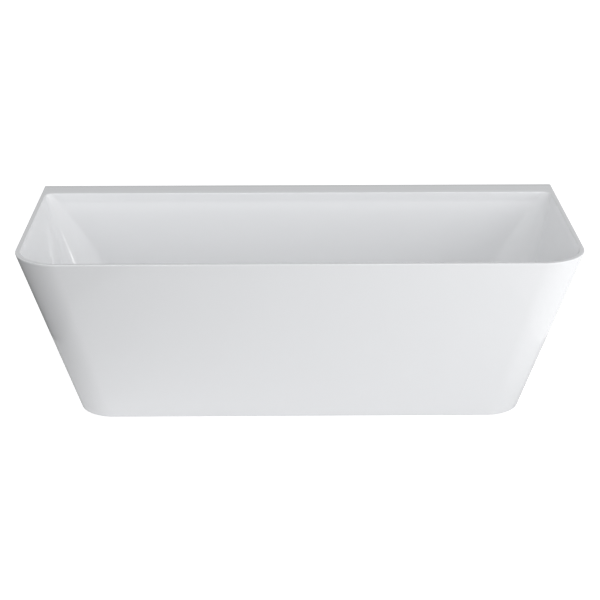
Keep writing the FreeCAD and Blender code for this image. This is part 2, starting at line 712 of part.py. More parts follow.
def make_plug_stem():
    top = plug_z + STEM_CAP
    profile = [(0, stem_end), (STEM_R - 1, stem_end), (STEM_R, stem_end + 1), (STEM_R, top), (0, top)]
    return revolve(profile, 0, waste_y)


def make_plug_cartridge():
    """Guide tube of the press-to-close action, closed at its foot."""
    r_in = STEM_R + SLIDE_GAP
    low, top, r = cartridge_z, cartridge_top, CARTRIDGE_R
    profile = [(0, low), (r - 1, low), (r, low + 1), (r, top - 1), (r - 1, top), (r_in, top),
               (r_in, low + CARTRIDGE_END), (0, low + CARTRIDGE_END)]
    return revolve(profile, 0, waste_y)


def make_plug_spring():
    """Compression spring between the cartridge's foot and the stem's end."""
    r = STEM_R - SPRING_WIRE - 0.1
    travel = SPRING_H - 2 * SPRING_WIRE
    section = Part.Wire(Part.makeCircle(SPRING_WIRE, V(r, 0, 0), V(0, 1, 0)))
    helix = Part.Wire(Part.makeHelix(travel / SPRING_TURNS, travel, r))
    spring = helix.makePipeShell([section], True, True)
    spring.translate(V(0, waste_y, cartridge_z + CARTRIDGE_END + SPRING_WIRE))
    return spring


# ---------------------------------------------------------------- trap
def pot_block(inset, z0, z1):
    """The trap's plan: two round ends joined by straight sides."""
    r = TRAP_HALF - inset
    far = waste_y + TRAP_RUN
    straight = box(-r, r, waste_y, far, z0, z1)
    return straight.fuse([cylinder(r, 0, waste_y, z0, z1), cylinder(r, 0, far, z0, z1)]).removeSplitter()


def make_trap_body():
    """Pot with an inlet neck, a hanging baffle for the water seal, a pipe socket and a cleaning eye."""
    outer = pot_block(0, TRAP_GAP, trap_top)
    foot = [e for e in outer.Edges if all(abs(v.Z - TRAP_GAP) < 0.01 for v in e.Vertexes)]
    outer = outer.makeFillet(TRAP_WALL * 2, foot)
    far = waste_y + TRAP_RUN
    solid = outer.fuse([cylinder(neck_r, 0, waste_y, trap_top - TRAP_WALL, neck_top),
                        cylinder(neck_flange_r, 0, waste_y, neck_top - TRAP_FLANGE, neck_top),
                        along_y(socket_r, outlet_z, far, socket_end),
                        along_y(EYE_R, outlet_z, eye_end, waste_y)])
    hollows = [pot_block(TRAP_WALL, TRAP_GAP + TRAP_WALL, trap_top - TRAP_WALL),
               cylinder(neck_bore, 0, waste_y, trap_top - 2 * TRAP_WALL, neck_top),
               along_y(PIPE_R, outlet_z, socket_end - SOCKET_L + TRAP_WALL, socket_end),
               along_y(PIPE_R - TRAP_WALL, outlet_z, far, socket_end),
               along_y(EYE_R - TRAP_WALL, outlet_z, eye_end, waste_y)]
    middle = waste_y + TRAP_RUN / 2
    reach = TRAP_HALF - 1
    baffle = box(-reach, reach, middle - TRAP_WALL / 2, middle + TRAP_WALL / 2,
                 TRAP_GAP + TRAP_WALL + BAFFLE_GAP, trap_top - 1)
    return solid.cut(hollows).fuse(baffle).removeSplitter()


def grip_ring(bore, length):
    """Ribbed blank for a trap nut or cap, standing on z = 0 about the waste's centre line."""
    r = bore + GRIP
    rib = GRIP * 0.4
    body = cylinder(r - rib * 0.7, 0, waste_y, 0, length)
    count = 16
    ribs = []
    for i in range(count):
        a = 2 * math.pi * i / count
        ribs.append(cylinder(rib, (r - rib) * math.cos(a), waste_y + (r - rib) * math.sin(a), 0, length))
    return body.fuse(ribs).removeSplitter()


def turned_to_y(shape, y):
    """Lay an upright blank so that it runs along +Y from y, about the outlet's centre line."""
    copy = shape.copy()
    copy.translate(V(0, -waste_y, 0))
    copy.rotate(V(0, 0, 0), V(1, 0, 0), -90)
    copy.translate(V(0, y, outlet_z))
    return copy


def make_trap_inlet_washer():
    return ring(neck_flange_r - 0.5, neck_bore, 0, waste_y, neck_top, tail_z)


def make_trap_union_nut():
    """Union nut that draws the trap's flange up to the waste's tail."""
    bore = neck_flange_r + 0.4
    lip_z = neck_top - TRAP_FLANGE
    low = lip_z - NUT_LIP
    body = grip_ring(bore, UNION_H)
    body.translate(V(0, 0, low))
    return body.cut([cylinder(neck_r + 0.4, 0, waste_y, low, lip_z),
                     cylinder(bore, 0, waste_y, lip_z, tail_z),
                     cylinder(WASTE_R + 0.1, 0, waste_y, tail_z, low + UNION_H)])


def make_trap_outlet_nut():
    """Compression nut over the pipe socket; its lip presses the washer onto the socket's mouth."""
    bore = socket_r + 0.1
    deep = OUTLET_NUT_L - NUT_LIP
    body = grip_ring(bore, OUTLET_NUT_L)
    body = body.cut([cylinder(bore, 0, waste_y, 0, deep),
                     cylinder(PIPE_R + 0.2, 0, waste_y, deep, OUTLET_NUT_L)])
    return turned_to_y(body, socket_end + TRAP_WASHER - deep)


def make_trap_outlet_washer():
    return turned_to_y(ring(socket_r, PIPE_R, 0, waste_y, 0, TRAP_WASHER), socket_end)


def make_trap_cleaning_cap():
    """Screw cap over the cleaning eye, with a bar to turn it by."""
    bore = EYE_R + 0.1
    body = grip_ring(bore, EYE_CAP_L).cut(cylinder(bore, 0, waste_y, EYE_CAP_L - EYE_L + 2, EYE_CAP_L))
    start = eye_end - (EYE_CAP_L - EYE_L + 2)
    half = EYE_R * 0.6
    bar = box(-half, half, start - TRAP_WALL, start, outlet_z - TRAP_WALL, outlet_z + TRAP_WALL)
    return turned_to_y(body, start).fuse(bar)


def main():
    os.makedirs("parts", exist_ok=True)
    export("inner_shell", make_inner_shell())
    export("shell_laminate", make_shell_laminate())
    export("outer_skirt", make_outer_skirt())
    export("skirt_laminate", make_skirt_laminate())
    for name, batten in zip(("front_batten", "left_batten", "right_batten"), make_battens()):
        export(name, batten)
    export("deck_batten", make_deck_batten())
    export("base_board", make_base_board())
    export("rail_front", make_rail(rail_front_y))
    export("rail_rear", make_rail(rail_rear_y))
    export("cross_tube_left", make_cross_tube(-1))
    export("cross_tube_right", make_cross_tube(1))
    export("tube_end_caps", make_tube_end_caps())
    export("frame_bolts", make_frame_bolts())
    export("frame_nuts", make_frame_nuts())
    board_screws = rail_screws(rail_front_y) + rail_screws(rail_rear_y) + plate_screws()
    export("board_screws", screws_at(board_screws))
    export("centre_leg_plates", make_centre_leg_plates())
    export("skirt_brackets", make_skirt_brackets())
    export("bracket_screws", screws_at(bracket_wood_screws() + bracket_tube_screws()))
    export("wall_clips", make_wall_clips())
    export("wall_clip_screws", screws_at(clip_screws()))
    export("levelling_nuts", make_levelling_nuts())
    export("lock_nuts", make_lock_nuts())
    for number, (x, y) in enumerate(cross_feet() + centre_feet(), 1):
        export("foot_%d_sole" % number, make_sole(x, y))
        export("foot_%d_pad" % number, make_pad(x, y))
        export("foot_%d_stud" % number, make_stud(x, y))
    export("waste_body", make_waste_body())
    export("waste_top_seal", make_waste_top_seal())
    export("waste_bottom_seal", make_waste_bottom_seal())
    export("waste_back_nut", make_waste_back_nut())
    export("plug_cap", make_plug_cap())
    export("plug_seal", make_plug_seal())
    export("plug_stem", make_plug_stem())
    export("plug_cartridge", make_plug_cartridge())
    export("plug_spring", make_plug_spring())
    export("trap_body", make_trap_body())
    export("trap_inlet_washer", make_trap_inlet_washer())
    export("trap_union_nut", make_trap_union_nut())
    export("trap_outlet_nut", make_trap_outlet_nut())
    export("trap_outlet_washer", make_trap_outlet_washer())
    export("trap_cleaning_cap", make_trap_cleaning_cap())
    levels = (floor_z, waste_y, outlet_z, socket_end)
    print("floor_z %.2f  waste_y %.2f  outlet_z %.2f  socket_end %.2f" % levels)
    for number, (x, y) in enumerate(cross_feet() + centre_feet(), 1):
        print("foot %d at x %.2f y %.2f" % (number, x, y))


main()
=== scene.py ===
# %% [markdown]
# # A back-to-wall bathtub, finished in Blender
# The bath is a glossy white acrylic basin, bonded into a tapering acrylic skirt.  Both skins are backed with
# glass fibre, and a board, a steel frame and six levelling feet carry them.  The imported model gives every
# piece its place; this lesson gives each piece its final surface.

# %% Load the frame
import bpy
import bmesh
import math
import numpy as np
from mathutils import Matrix, Vector, noise


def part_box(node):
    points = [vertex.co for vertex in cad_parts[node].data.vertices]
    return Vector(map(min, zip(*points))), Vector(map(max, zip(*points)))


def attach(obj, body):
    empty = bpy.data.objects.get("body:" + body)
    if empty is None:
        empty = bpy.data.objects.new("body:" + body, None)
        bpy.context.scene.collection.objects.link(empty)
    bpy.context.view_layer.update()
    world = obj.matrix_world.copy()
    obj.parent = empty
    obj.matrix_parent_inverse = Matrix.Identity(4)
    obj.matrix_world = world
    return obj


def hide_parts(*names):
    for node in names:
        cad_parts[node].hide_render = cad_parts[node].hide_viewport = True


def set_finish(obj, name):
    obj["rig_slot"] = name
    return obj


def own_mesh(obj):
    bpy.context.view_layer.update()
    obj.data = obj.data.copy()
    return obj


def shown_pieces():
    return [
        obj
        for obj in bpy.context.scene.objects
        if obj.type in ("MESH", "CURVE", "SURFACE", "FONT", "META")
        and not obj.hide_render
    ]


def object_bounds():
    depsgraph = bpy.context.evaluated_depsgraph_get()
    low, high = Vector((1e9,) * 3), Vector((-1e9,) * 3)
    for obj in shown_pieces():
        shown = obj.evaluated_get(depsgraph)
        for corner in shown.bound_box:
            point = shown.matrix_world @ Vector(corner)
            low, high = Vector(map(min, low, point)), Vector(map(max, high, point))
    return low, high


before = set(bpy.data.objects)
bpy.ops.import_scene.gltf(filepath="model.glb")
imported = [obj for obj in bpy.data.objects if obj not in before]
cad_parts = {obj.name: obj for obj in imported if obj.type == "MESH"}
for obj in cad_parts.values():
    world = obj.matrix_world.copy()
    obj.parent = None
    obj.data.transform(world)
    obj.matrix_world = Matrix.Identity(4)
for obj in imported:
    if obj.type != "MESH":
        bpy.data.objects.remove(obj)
frame_low, frame_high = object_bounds()

# %% [markdown]
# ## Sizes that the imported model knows
# Overall sizes and levels come from the frame's own boxes, so the skins always fit the pieces they sit on.
# The one thing a box can't tell here is how thick the formed sheet and its glass-fibre back are.

# %% Sizes from the frame
MM = 0.001
SHEET = 4 * MM
LAMINATE = 2.5 * MM
LENGTH = frame_high.x - frame_low.x
DEPTH = frame_high.y - frame_low.y
HEIGHT = frame_high.z
WALL_Y = frame_high.y
deck_z = HEIGHT - SHEET
floor_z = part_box("base_board")[1].z + LAMINATE + SHEET
basin_deep = HEIGHT - floor_z
waste_low, waste_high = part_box("waste_body")
waste_y = (waste_low.y + waste_high.y) / 2
print("length %.3f depth %.3f height %.3f floor %.4f waste_y %.4f" % (LENGTH, DEPTH, HEIGHT, floor_z, waste_y))

# %% [markdown]
# ## Sizes that give the bath its character
# A narrow rim, a wide deck, walls that lean by 11 to 18 degrees and two large front corners.  A lean could be
# set by where the wall meets the floor; an angle is used, so that the wall keeps its look at any height.

# %% Widths, corners and leans
RIM_WIDTH = 14 * MM
DECK_WIDTH = 88 * MM
REAR_BAND = 28 * MM
RIM_CORNER = 141 * MM
SQUARE_CORNER = 3 * MM


def slope(degrees):
    return math.tan(math.radians(degrees))


END_SLOPE, FRONT_SLOPE = slope(16.0), slope(16.6)
BASIN_END_SLOPE, BASIN_FRONT_SLOPE, BASIN_REAR_SLOPE = slope(17.2), slope(17.8), slope(11.0)
print("the ends lean out %.0f mm over the bath's height" % (END_SLOPE * HEIGHT / MM))

# %% [markdown]
# ## Small tools for building closed skins
# A formed sheet is easiest to describe as a stack of outlines.  Each outline has the same number of points,
# so two neighbours join with plain quads.  Patches are made one by one and then welded where they meet.

# %% Closed skins
def new_piece(name, mesh):
    piece = bpy.data.objects.new(name, mesh)
    bpy.context.scene.collection.objects.link(piece)
    return piece


def fit(piece, nodes, body, slot):
    """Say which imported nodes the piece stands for, the body it moves with and its finish."""
    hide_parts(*nodes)
    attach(piece, body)
    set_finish(piece, slot)
    return piece

class Skin:
    """Collects patches of quads and welds them into one closed mesh."""

    def __init__(self):
        self.points = []
        self.faces = []

    def patch(self, rows, closed=False):
        """rows: a grid of points; closed joins each row's last point to its first."""
        rows = np.asarray(rows, float)
        count, width = rows.shape[0], rows.shape[1]
        start = len(self.points)
        self.points.extend(rows.reshape(-1, 3).tolist())
        columns = width if closed else width - 1
        for i in range(count - 1):
            for j in range(columns):
                a = start + i * width + j
                b = start + i * width + (j + 1) % width
                self.faces.append((a, b, b + width, a + width))

    def cap(self, loop):
        start = len(self.points)
        self.points.extend(np.asarray(loop, float).tolist())
        self.faces.append(tuple(range(start, start + len(loop))))

    def finish(self, name, weld=2e-6, sharp=35.0):
        mesh = bpy.data.meshes.new(name)
        mesh.from_pydata(self.points, [], self.faces)
        work = bmesh.new()
        work.from_mesh(mesh)
        bmesh.ops.remove_doubles(work, verts=work.verts, dist=weld)
        bmesh.ops.dissolve_degenerate(work, dist=weld, edges=work.edges)
        bmesh.ops.recalc_face_normals(work, faces=work.faces)
        open_edges = sum(1 for edge in work.edges if len(edge.link_faces) != 2)
        work.to_mesh(mesh)
        work.free()
        mesh.shade_smooth()
        mesh.set_sharp_from_angle(angle=math.radians(sharp))
        print("%-22s faces %6d open edges %d" % (name, len(mesh.polygons), open_edges))
        return new_piece(name, mesh)

def smoothstep(t):
    t = np.clip(t, 0, 1)
    return t * t * (3 - 2 * t)


print("a soft step, a quarter of the way along: %.3f" % smoothstep(0.25))

# %% [markdown]
# ## Outlines with round corners
# Every point of an outline lies on a corner arc or on the straight between two arcs.  Keeping the corner,
# the angle and the share of the straight for each point lets the same outline be drawn at any height, even
# at a height that changes along it.

# %% Outline points
ARC_STEPS = 24
SIDE_STEPS = 10
LONG_STEPS = 40
LIP_END = 808.5 * MM
LIP_STEP = 0.4 * MM


def straight(start_corner, end_corner, angle, shares):
    return [(start_corner, angle, end_corner, share) for share in shares]


def arc(corner, angle, steps=ARC_STEPS):
    return [(corner, angle + 90.0 * i / steps, corner, 0.0) for i in range(steps + 1)]


even_long = [i / LONG_STEPS for i in range(1, LONG_STEPS)]
even_side = [i / SIDE_STEPS for i in range(1, SIDE_STEPS)]
reach = LENGTH / 2 - 3 * MM
lip_share = (1 - LIP_END / reach) / 2
lip_edge = (1 - (LIP_END + LIP_STEP) / reach) / 2
inner = np.linspace(lip_share, 1 - lip_share, LONG_STEPS - 3).tolist()
rear_shares = [lip_edge] + inner + [1 - lip_edge]
FRONT_RIGHT, REAR_RIGHT, REAR_LEFT, FRONT_LEFT = 0, 1, 2, 3
spots = (arc(FRONT_RIGHT, -90) + straight(FRONT_RIGHT, REAR_RIGHT, 0, even_side)
         + arc(REAR_RIGHT, 0) + straight(REAR_RIGHT, REAR_LEFT, 90, rear_shares)
         + arc(REAR_LEFT, 90) + straight(REAR_LEFT, FRONT_LEFT, 180, even_side)
         + arc(FRONT_LEFT, 180) + straight(FRONT_LEFT, FRONT_RIGHT, 270, even_long))
spot_a = np.array([s[0] for s in spots])
spot_b = np.array([s[2] for s in spots])
spot_angle = np.radians([s[1] for s in spots])
spot_share = np.array([s[3] for s in spots])
plan_normal = np.stack([np.cos(spot_angle), np.sin(spot_angle)], 1)
SIDE_SIGN = np.array([1, 1, -1, -1])
IS_REAR = np.array([False, True, True, False])
print("points in an outline", len(spots))


def outline_xy(half, front, rear, front_r, rear_r, corner_a=spot_a, corner_b=spot_b, normal=plan_normal,
               share=spot_share):
    """x and y of every outline point; the sizes may be numbers or one value for each point."""
    def on(corner):
        r = np.where(IS_REAR[corner], rear_r, front_r)
        cx = SIDE_SIGN[corner] * (half - r)
        cy = np.where(IS_REAR[corner], rear - r, front + r)
        return np.stack([cx + r * normal[:, 0], cy + r * normal[:, 1]], 1)
    return on(corner_a) * (1 - share[:, None]) + on(corner_b) * share[:, None]


def lifted(xy, z):
    z = np.broadcast_to(np.asarray(z, float), (len(xy),))
    return np.concatenate([xy, z[:, None]], 1)

# %% [markdown]
# ## The basin's walls
# The ends and the front lean outwards evenly.  The rear wall hangs straight down from the deck for a short
# band and then slopes forwards, with a soft knuckle between.  The corners open from tight at the deck to
# wide at the floor, so each corner is part of a slanted cone.

# %% Basin wall
FRONT_CORNER = (127 * MM, 200 * MM)
REAR_CORNER = (25 * MM, 220 * MM)
KNUCKLE = 7 * MM


def knuckled(t):
    soft = (t + KNUCKLE) ** 2 / (4 * KNUCKLE)
    return np.where(t < -KNUCKLE, 0.0, np.where(t > KNUCKLE, t, soft))


def basin_xy(z):
    down = HEIGHT - np.asarray(z, float)
    share = down / basin_deep
    return outline_xy(LENGTH / 2 - RIM_WIDTH - BASIN_END_SLOPE * down,
                      -DEPTH / 2 + RIM_WIDTH + BASIN_FRONT_SLOPE * down,
                      WALL_Y - DECK_WIDTH - BASIN_REAR_SLOPE * knuckled(down - REAR_BAND),
                      FRONT_CORNER[0] + (FRONT_CORNER[1] - FRONT_CORNER[0]) * share,
                      REAR_CORNER[0] + (REAR_CORNER[1] - REAR_CORNER[0]) * share)


def lean(z):
    """The wall's lean from the vertical at each outline point."""
    step = 0.5 * MM
    z = np.broadcast_to(np.asarray(z, float), (len(spots),))
    opened = ((basin_xy(z + step) - basin_xy(z - step)) * plan_normal).sum(1)
    return np.arctan(opened / (2 * step))


def into_sheet(angle):
    """Unit vectors from the bathing surface into the sheet, for a wall with this lean."""
    return np.concatenate([plan_normal * np.cos(angle)[:, None], -np.sin(angle)[:, None]], 1)


print("corner leans, top %s and floor %s degrees" % tuple(
    np.degrees([lean(z).min(), lean(z).max()]).round(1).tolist() for z in (HEIGHT - 4 * MM, floor_z + 45 * MM)))

# %% [markdown]
# ## The sweep from wall to floor
# A ball rolled along the foot of the wall gives the sweep.  Because the wall's lean changes in the corners,
# the ball's centre is found for each point of the outline by itself.

# %% Where the rolled ball touches the wall
FLOOR_SWEEP = 65 * MM
sweep_lean = lean(floor_z + 45 * MM)
contact_z = floor_z + FLOOR_SWEEP * (1 - np.sin(sweep_lean))
sweep_lean = lean(contact_z)
sweep_xy = basin_xy(contact_z) - plan_normal * (FLOOR_SWEEP * np.cos(sweep_lean))[:, None]
print("the sweep ends %.1f to %.1f mm above the floor" % ((contact_z.min() - floor_z) / MM,
                                                          (contact_z.max() - floor_z) / MM))

# %% [markdown]
# ## Rings of the bathing surface
# The surface is drawn as rings from the waste's hole outwards and up.  Each ring also keeps the way into the
# sheet, so the sheet's other face can be drawn later without guessing.  The first rings are the shallow
# recess that lets the last water find the waste.

# %% Recess round the waste
RECESS_SEAT_R = 39 * MM
RECESS_TOP_R = 55 * MM
RECESS_DEPTH = 5 * MM
HOLE_R = 24.9 * MM
rings = []                     # (points, unit vectors into the sheet), from the waste outwards and up
turn = (np.arange(len(spots)) - ARC_STEPS - SIDE_STEPS / 2) * (2 * math.pi / len(spots))
circle = np.stack([np.cos(turn), np.sin(turn)], 1)
down_unit = np.tile([0.0, 0.0, -1.0], (len(spots), 1))
ease_start, ease_end = RECESS_SEAT_R - 2 * MM, RECESS_TOP_R + 2 * MM
for r in [HOLE_R, 30 * MM, 35 * MM] + np.linspace(ease_start, ease_end, 9).tolist():
    fall = RECESS_DEPTH * (1 - smoothstep((r - ease_start) / (ease_end - ease_start)))
    rings.append((lifted(circle * r + [0, waste_y], floor_z - fall), down_unit))
print("rings in the recess", len(rings))

# %% [markdown]
# Over the flat floor the rings change from a circle to the basin's own outline.  Then each follows the rolled
# ball round from the floor to the wall.

# %% Floor and sweep
SWEEP_STEPS = 12


def turned_out(angle):
    """Unit vectors that start straight down and turn towards the wall by an angle for each point."""
    return np.concatenate([plan_normal * np.sin(angle)[:, None], -np.cos(angle)[:, None]], 1)


waste_ring = circle * ease_end + [0, waste_y]
for share in (0.04, 0.12, 0.25, 0.45, 0.7, 0.9):
    rings.append((lifted(waste_ring * (1 - share) + sweep_xy * share, floor_z), down_unit))
for i in range(SWEEP_STEPS + 1):
    away = turned_out((math.pi / 2 - sweep_lean) * i / SWEEP_STEPS)
    rings.append((lifted(sweep_xy, floor_z + FLOOR_SWEEP) + away * FLOOR_SWEEP, away))
print("rings up to the wall", len(rings))

# %% [markdown]
# The wall needs few rings where it is straight, and more through the knuckle under the deck, where it bends.
# At the top the surface rolls over into the flat rim.

# %% Wall and rim
WALL_STEPS = 14
KNUCKLE_STEPS = 6
RIM_STEPS = 7
RIM_ROUND = 3.2 * MM
knuckle_low = HEIGHT - REAR_BAND - KNUCKLE
wall_levels = [contact_z + (knuckle_low - contact_z) * i / WALL_STEPS for i in range(1, WALL_STEPS + 1)]
wall_levels += [knuckle_low + 2 * KNUCKLE * i / KNUCKLE_STEPS for i in range(1, KNUCKLE_STEPS + 1)]
for z in wall_levels:
    rings.append((lifted(basin_xy(z), z), into_sheet(lean(z))))
top_lean = lean(HEIGHT - 4 * MM)
round_z = HEIGHT - RIM_ROUND * (1 - np.sin(top_lean))
round_xy = basin_xy(round_z) + plan_normal * (RIM_ROUND * np.cos(top_lean))[:, None]
for i in range(RIM_STEPS + 1):
    away = turned_out((math.pi / 2 - top_lean) * (1 - i / RIM_STEPS))
    rings.append((lifted(round_xy, HEIGHT - RIM_ROUND) - away * RIM_ROUND, away))
print("rings", len(rings), "leans at the floor", round(math.degrees(sweep_lean.min()), 2),
      "to", round(math.degrees(sweep_lean.max()), 2))

# %% [markdown]
# ## The rim and the deck's lip
# The formed sheet runs out flat as the rim and the deck.  Its edge is trimmed upright, and along the wall it
# turns down as a lip.  Following the sheet's other face back to the waste closes the solid.

# %% Shell of the bath
REAR_LIP = 26 * MM
EDGE_ROUND = 1.3 * MM
SHARP_CORNER = 0.05 * MM


def rim_xy(inset):
    return outline_xy(LENGTH / 2 - inset, -DEPTH / 2 + inset, WALL_Y - inset, RIM_CORNER - inset,
                      SQUARE_CORNER - inset)


def inset_rim(inset):
    """The same outline drawn further in than the rear corners are round, so they end sharp."""
    return outline_xy(LENGTH / 2 - inset, -DEPTH / 2 + inset, WALL_Y - inset, RIM_CORNER - inset, SHARP_CORNER)

def build_shell():
    face = [points for points, _ in rings]
    edge_start = rim_xy(EDGE_ROUND)
    for share in (0.35, 0.7):
        face.append(lifted(round_xy * (1 - share) + edge_start * share, HEIGHT))
    for i in range(5):
        turned = math.radians(90 * i / 4)
        out = plan_normal * (EDGE_ROUND * math.sin(turned))
        face.append(lifted(edge_start + out, HEIGHT - EDGE_ROUND + EDGE_ROUND * math.cos(turned)))
    on_lip = (spot_a == REAR_RIGHT) & (spot_b == REAR_LEFT) & (np.abs(rim_xy(0)[:, 0]) < LIP_END + 0.1 * MM)
    edge_z = np.where(on_lip, HEIGHT - REAR_LIP, deck_z)
    face.append(lifted(rim_xy(0), edge_z))
    face.append(lifted(inset_rim(SHEET), edge_z))
    face.append(lifted(inset_rim(SHEET + 0.5 * MM), deck_z))
    back = [points + away * SHEET for points, away in rings]
    face += back[::-1]
    face.append(face[0])
    skin = Skin()
    skin.patch(face, closed=True)
    return skin.finish("bath_shell")


fit(build_shell(), ["inner_shell"], "bath", "acrylic")

# %% [markdown]
# ## The skirt
# The skirt is one sheet, bent round the front and both ends.  It has a flange inwards along its foot and its
# rear edges, which stiffens it and gives the battens a shelf.  It is drawn as four walls: the face, the
# inside, the foot's flange and the two rear flanges.

# %% The skirt's path
SKIRT_FLANGE = 28 * MM
REAR_FOLD = 1.5 * MM
FOOT_ROUND = 2.5 * MM
CORNER_NARROWS = 34 * MM
CORNER_STEPS, FACE_STEPS, END_STEPS, FOLD_STEPS = 30, 32, 16, 4
foot_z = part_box("outer_skirt")[0].z
flange_top = foot_z + SHEET
fold_y = WALL_Y - SHEET
END_LEVEL = math.hypot(1, END_SLOPE)
FRONT_LEVEL = math.hypot(1, FRONT_SLOPE)
skirt_spots = (straight(REAR_LEFT, FRONT_LEFT, 180, [i / END_STEPS for i in range(END_STEPS)])
               + arc(FRONT_LEFT, 180, CORNER_STEPS)
               + straight(FRONT_LEFT, FRONT_RIGHT, 270, [i / FACE_STEPS for i in range(1, FACE_STEPS)])
               + arc(FRONT_RIGHT, 270, CORNER_STEPS)
               + straight(FRONT_RIGHT, REAR_RIGHT, 360, [i / END_STEPS for i in range(1, END_STEPS + 1)]))
path_a = np.array([s[0] for s in skirt_spots])
path_b = np.array([s[2] for s in skirt_spots])
path_angle = np.radians([s[1] for s in skirt_spots])
path_share = np.array([s[3] for s in skirt_spots])
path_normal = np.stack([np.cos(path_angle), np.sin(path_angle)], 1)
print("points along the skirt", len(skirt_spots))

# %% [markdown]
# An inset is measured square to the sheet, so in plan it grows a little where the wall leans.  The rear edge
# is folded over a small radius, as sheet bent warm over a bar comes out.

# %% Rows of the skirt
def skirt_row(z, inset=0.0, rear=WALL_Y):
    """The skirt's path in plan at height z, from its rear left edge round to its rear right edge."""
    down = deck_z - z
    corner = RIM_CORNER - CORNER_NARROWS * down / deck_z
    xy = outline_xy(LENGTH / 2 - END_SLOPE * down - inset * END_LEVEL,
                    -DEPTH / 2 + FRONT_SLOPE * down + inset * FRONT_LEVEL,
                    rear, corner - inset, 0.0, path_a, path_b, path_normal, path_share)
    return lifted(xy, z)


quarter = [math.radians(90 * i / FOLD_STEPS) for i in range(FOLD_STEPS + 1)]


def rear_fold(z, side, inset=0.0):
    """Small arc at the skirt's rear edge, turning from the end wall to the flange."""
    half = LENGTH / 2 - END_SLOPE * (deck_z - z) - inset * END_LEVEL
    return [(side * (half - REAR_FOLD * (1 - math.cos(a))), WALL_Y - REAR_FOLD * (1 - math.sin(a)), z)
            for a in quarter]


foot_rows = [(foot_z + FOOT_ROUND * (1 - math.sin(a)), FOOT_ROUND * (1 - math.cos(a))) for a in quarter][::-1]
foot_levels = [z for z, _ in foot_rows] + [flange_top]
inside_levels = np.linspace(flange_top, deck_z, 20).tolist()
print("skirt from z %.4f to %.4f" % (foot_levels[0], inside_levels[-1]))

# %% [markdown]
# Each rear flange joins the fold to the end wall's inside, and is closed by a small face at its foot and at
# its top.

# %% Rear flange
def add_rear_flange(skin, side, end, fold):
    def line(levels, y):
        return [(side * (LENGTH / 2 - END_SLOPE * (deck_z - z) - SKIRT_FLANGE * END_LEVEL), y, z)
                for z in levels]
    upper, upper_front = line(inside_levels, WALL_Y), line(inside_levels, fold_y)
    low, low_front = line(foot_levels, WALL_Y), line(foot_levels, fold_y)
    skin.patch([fold, line(foot_levels[:-1] + inside_levels, WALL_Y)])
    skin.patch([upper, upper_front])
    skin.patch([upper_front, [skirt_row(z, SHEET, fold_y)[end] for z in inside_levels]])
    skin.patch([low, low_front])
    z, inset = foot_rows[0]
    skin.cap([skirt_row(z, inset, fold_y)[end]] + rear_fold(z, side, inset) + [low[0], low_front[0]])
    skin.cap([skirt_row(deck_z, 0, fold_y)[end]] + rear_fold(deck_z, side)
             + [upper[-1], upper_front[-1], skirt_row(deck_z, SHEET, fold_y)[end]])


print("corners of a flange's end faces", len(quarter) + 3)

# %% [markdown]
# The whole skirt is then the face with both folds, the inside, the foot's flange, the narrow edges between
# them and the two rear flanges.

# %% Skirt sheet
def build_skirt():
    face, folds = [], {-1: [], 1: []}
    for z, inset in foot_rows + [(z, 0.0) for z in inside_levels]:
        left, right = rear_fold(z, -1, inset)[::-1], rear_fold(z, 1, inset)
        face.append(left + skirt_row(z, inset, fold_y).tolist() + right)
        folds[-1].append(left[0])
        folds[1].append(right[-1])
    skin = Skin()
    skin.patch(face)
    skin.patch([skirt_row(z, SHEET, fold_y) for z in inside_levels])
    skin.patch([skirt_row(z, SKIRT_FLANGE, fold_y) for z in foot_levels])
    for z, near, far in ((flange_top, SKIRT_FLANGE, SHEET), (foot_z, FOOT_ROUND, SKIRT_FLANGE),
                         (deck_z, 0.0, SHEET)):
        skin.patch([skirt_row(z, near, fold_y), skirt_row(z, far, fold_y)])
    for side, end in ((-1, 0), (1, -1)):
        add_rear_flange(skin, side, end, folds[side])
    return skin.finish("bath_skirt")


fit(build_skirt(), ["outer_skirt"], "bath", "acrylic")

# %% [markdown]
# ## Glass-fibre backing
# Chopped strand and resin are sprayed on the back of both skins and rolled down by hand.  The backing is
# never quite even, so its free face dips by up to a millimetre between the strands' bundles.

# %% Dips of the rolled back
def lumps(points, scale, depth):
    """Depth of the dips at each point, from a fixed noise."""
    dips = np.empty(len(points))
    for i, point in enumerate(points):
        here = Vector(point) * scale
        dips[i] = depth * (0.5 + 0.5 * noise.noise(here) * (0.6 + 0.4 * noise.noise(here * 3.1)))
    return np.clip(dips, 0, depth)


print("dip at one point of the back: %.2f mm" % lumps([(0.3, 0.1, 0.2)], 55, 1.3)[0])

# %% [markdown]
# The basin's backing follows the rings that were kept.  It stays even over the floor, where the board is
# bonded to it, and stops below the rim.

# %% Backing of the basin
SHELL_DIP = 1.3 * MM


def build_shell_laminate():
    top_z = deck_z - 8 * MM
    chosen = [(points, away) for points, away in rings if points[:, 2].max() < top_z]
    chosen.append((lifted(basin_xy(top_z), top_z), into_sheet(lean(top_z))))
    inside = [points + away * SHEET for points, away in chosen]
    outside = []
    for points, away in chosen:
        rising = smoothstep((points[:, 2] - floor_z - 10 * MM) / (50 * MM))
        dip = lumps(points, 55, SHELL_DIP) * rising
        outside.append(points + away * (SHEET + LAMINATE - dip)[:, None])
    skin = Skin()
    skin.patch(inside + outside[::-1] + [inside[0]], closed=True)
    return skin.finish("shell_backing", sharp=50)


fit(build_shell_laminate(), ["shell_laminate"], "bath", "glassfibre")

# %% [markdown]
# The skirt's backing is thinner and lies on the inside of the face, between the foot's flange and the deck.

# %% Backing of the skirt
SKIRT_LAMINATE = 1.5 * MM
SKIRT_DIP = 0.8 * MM


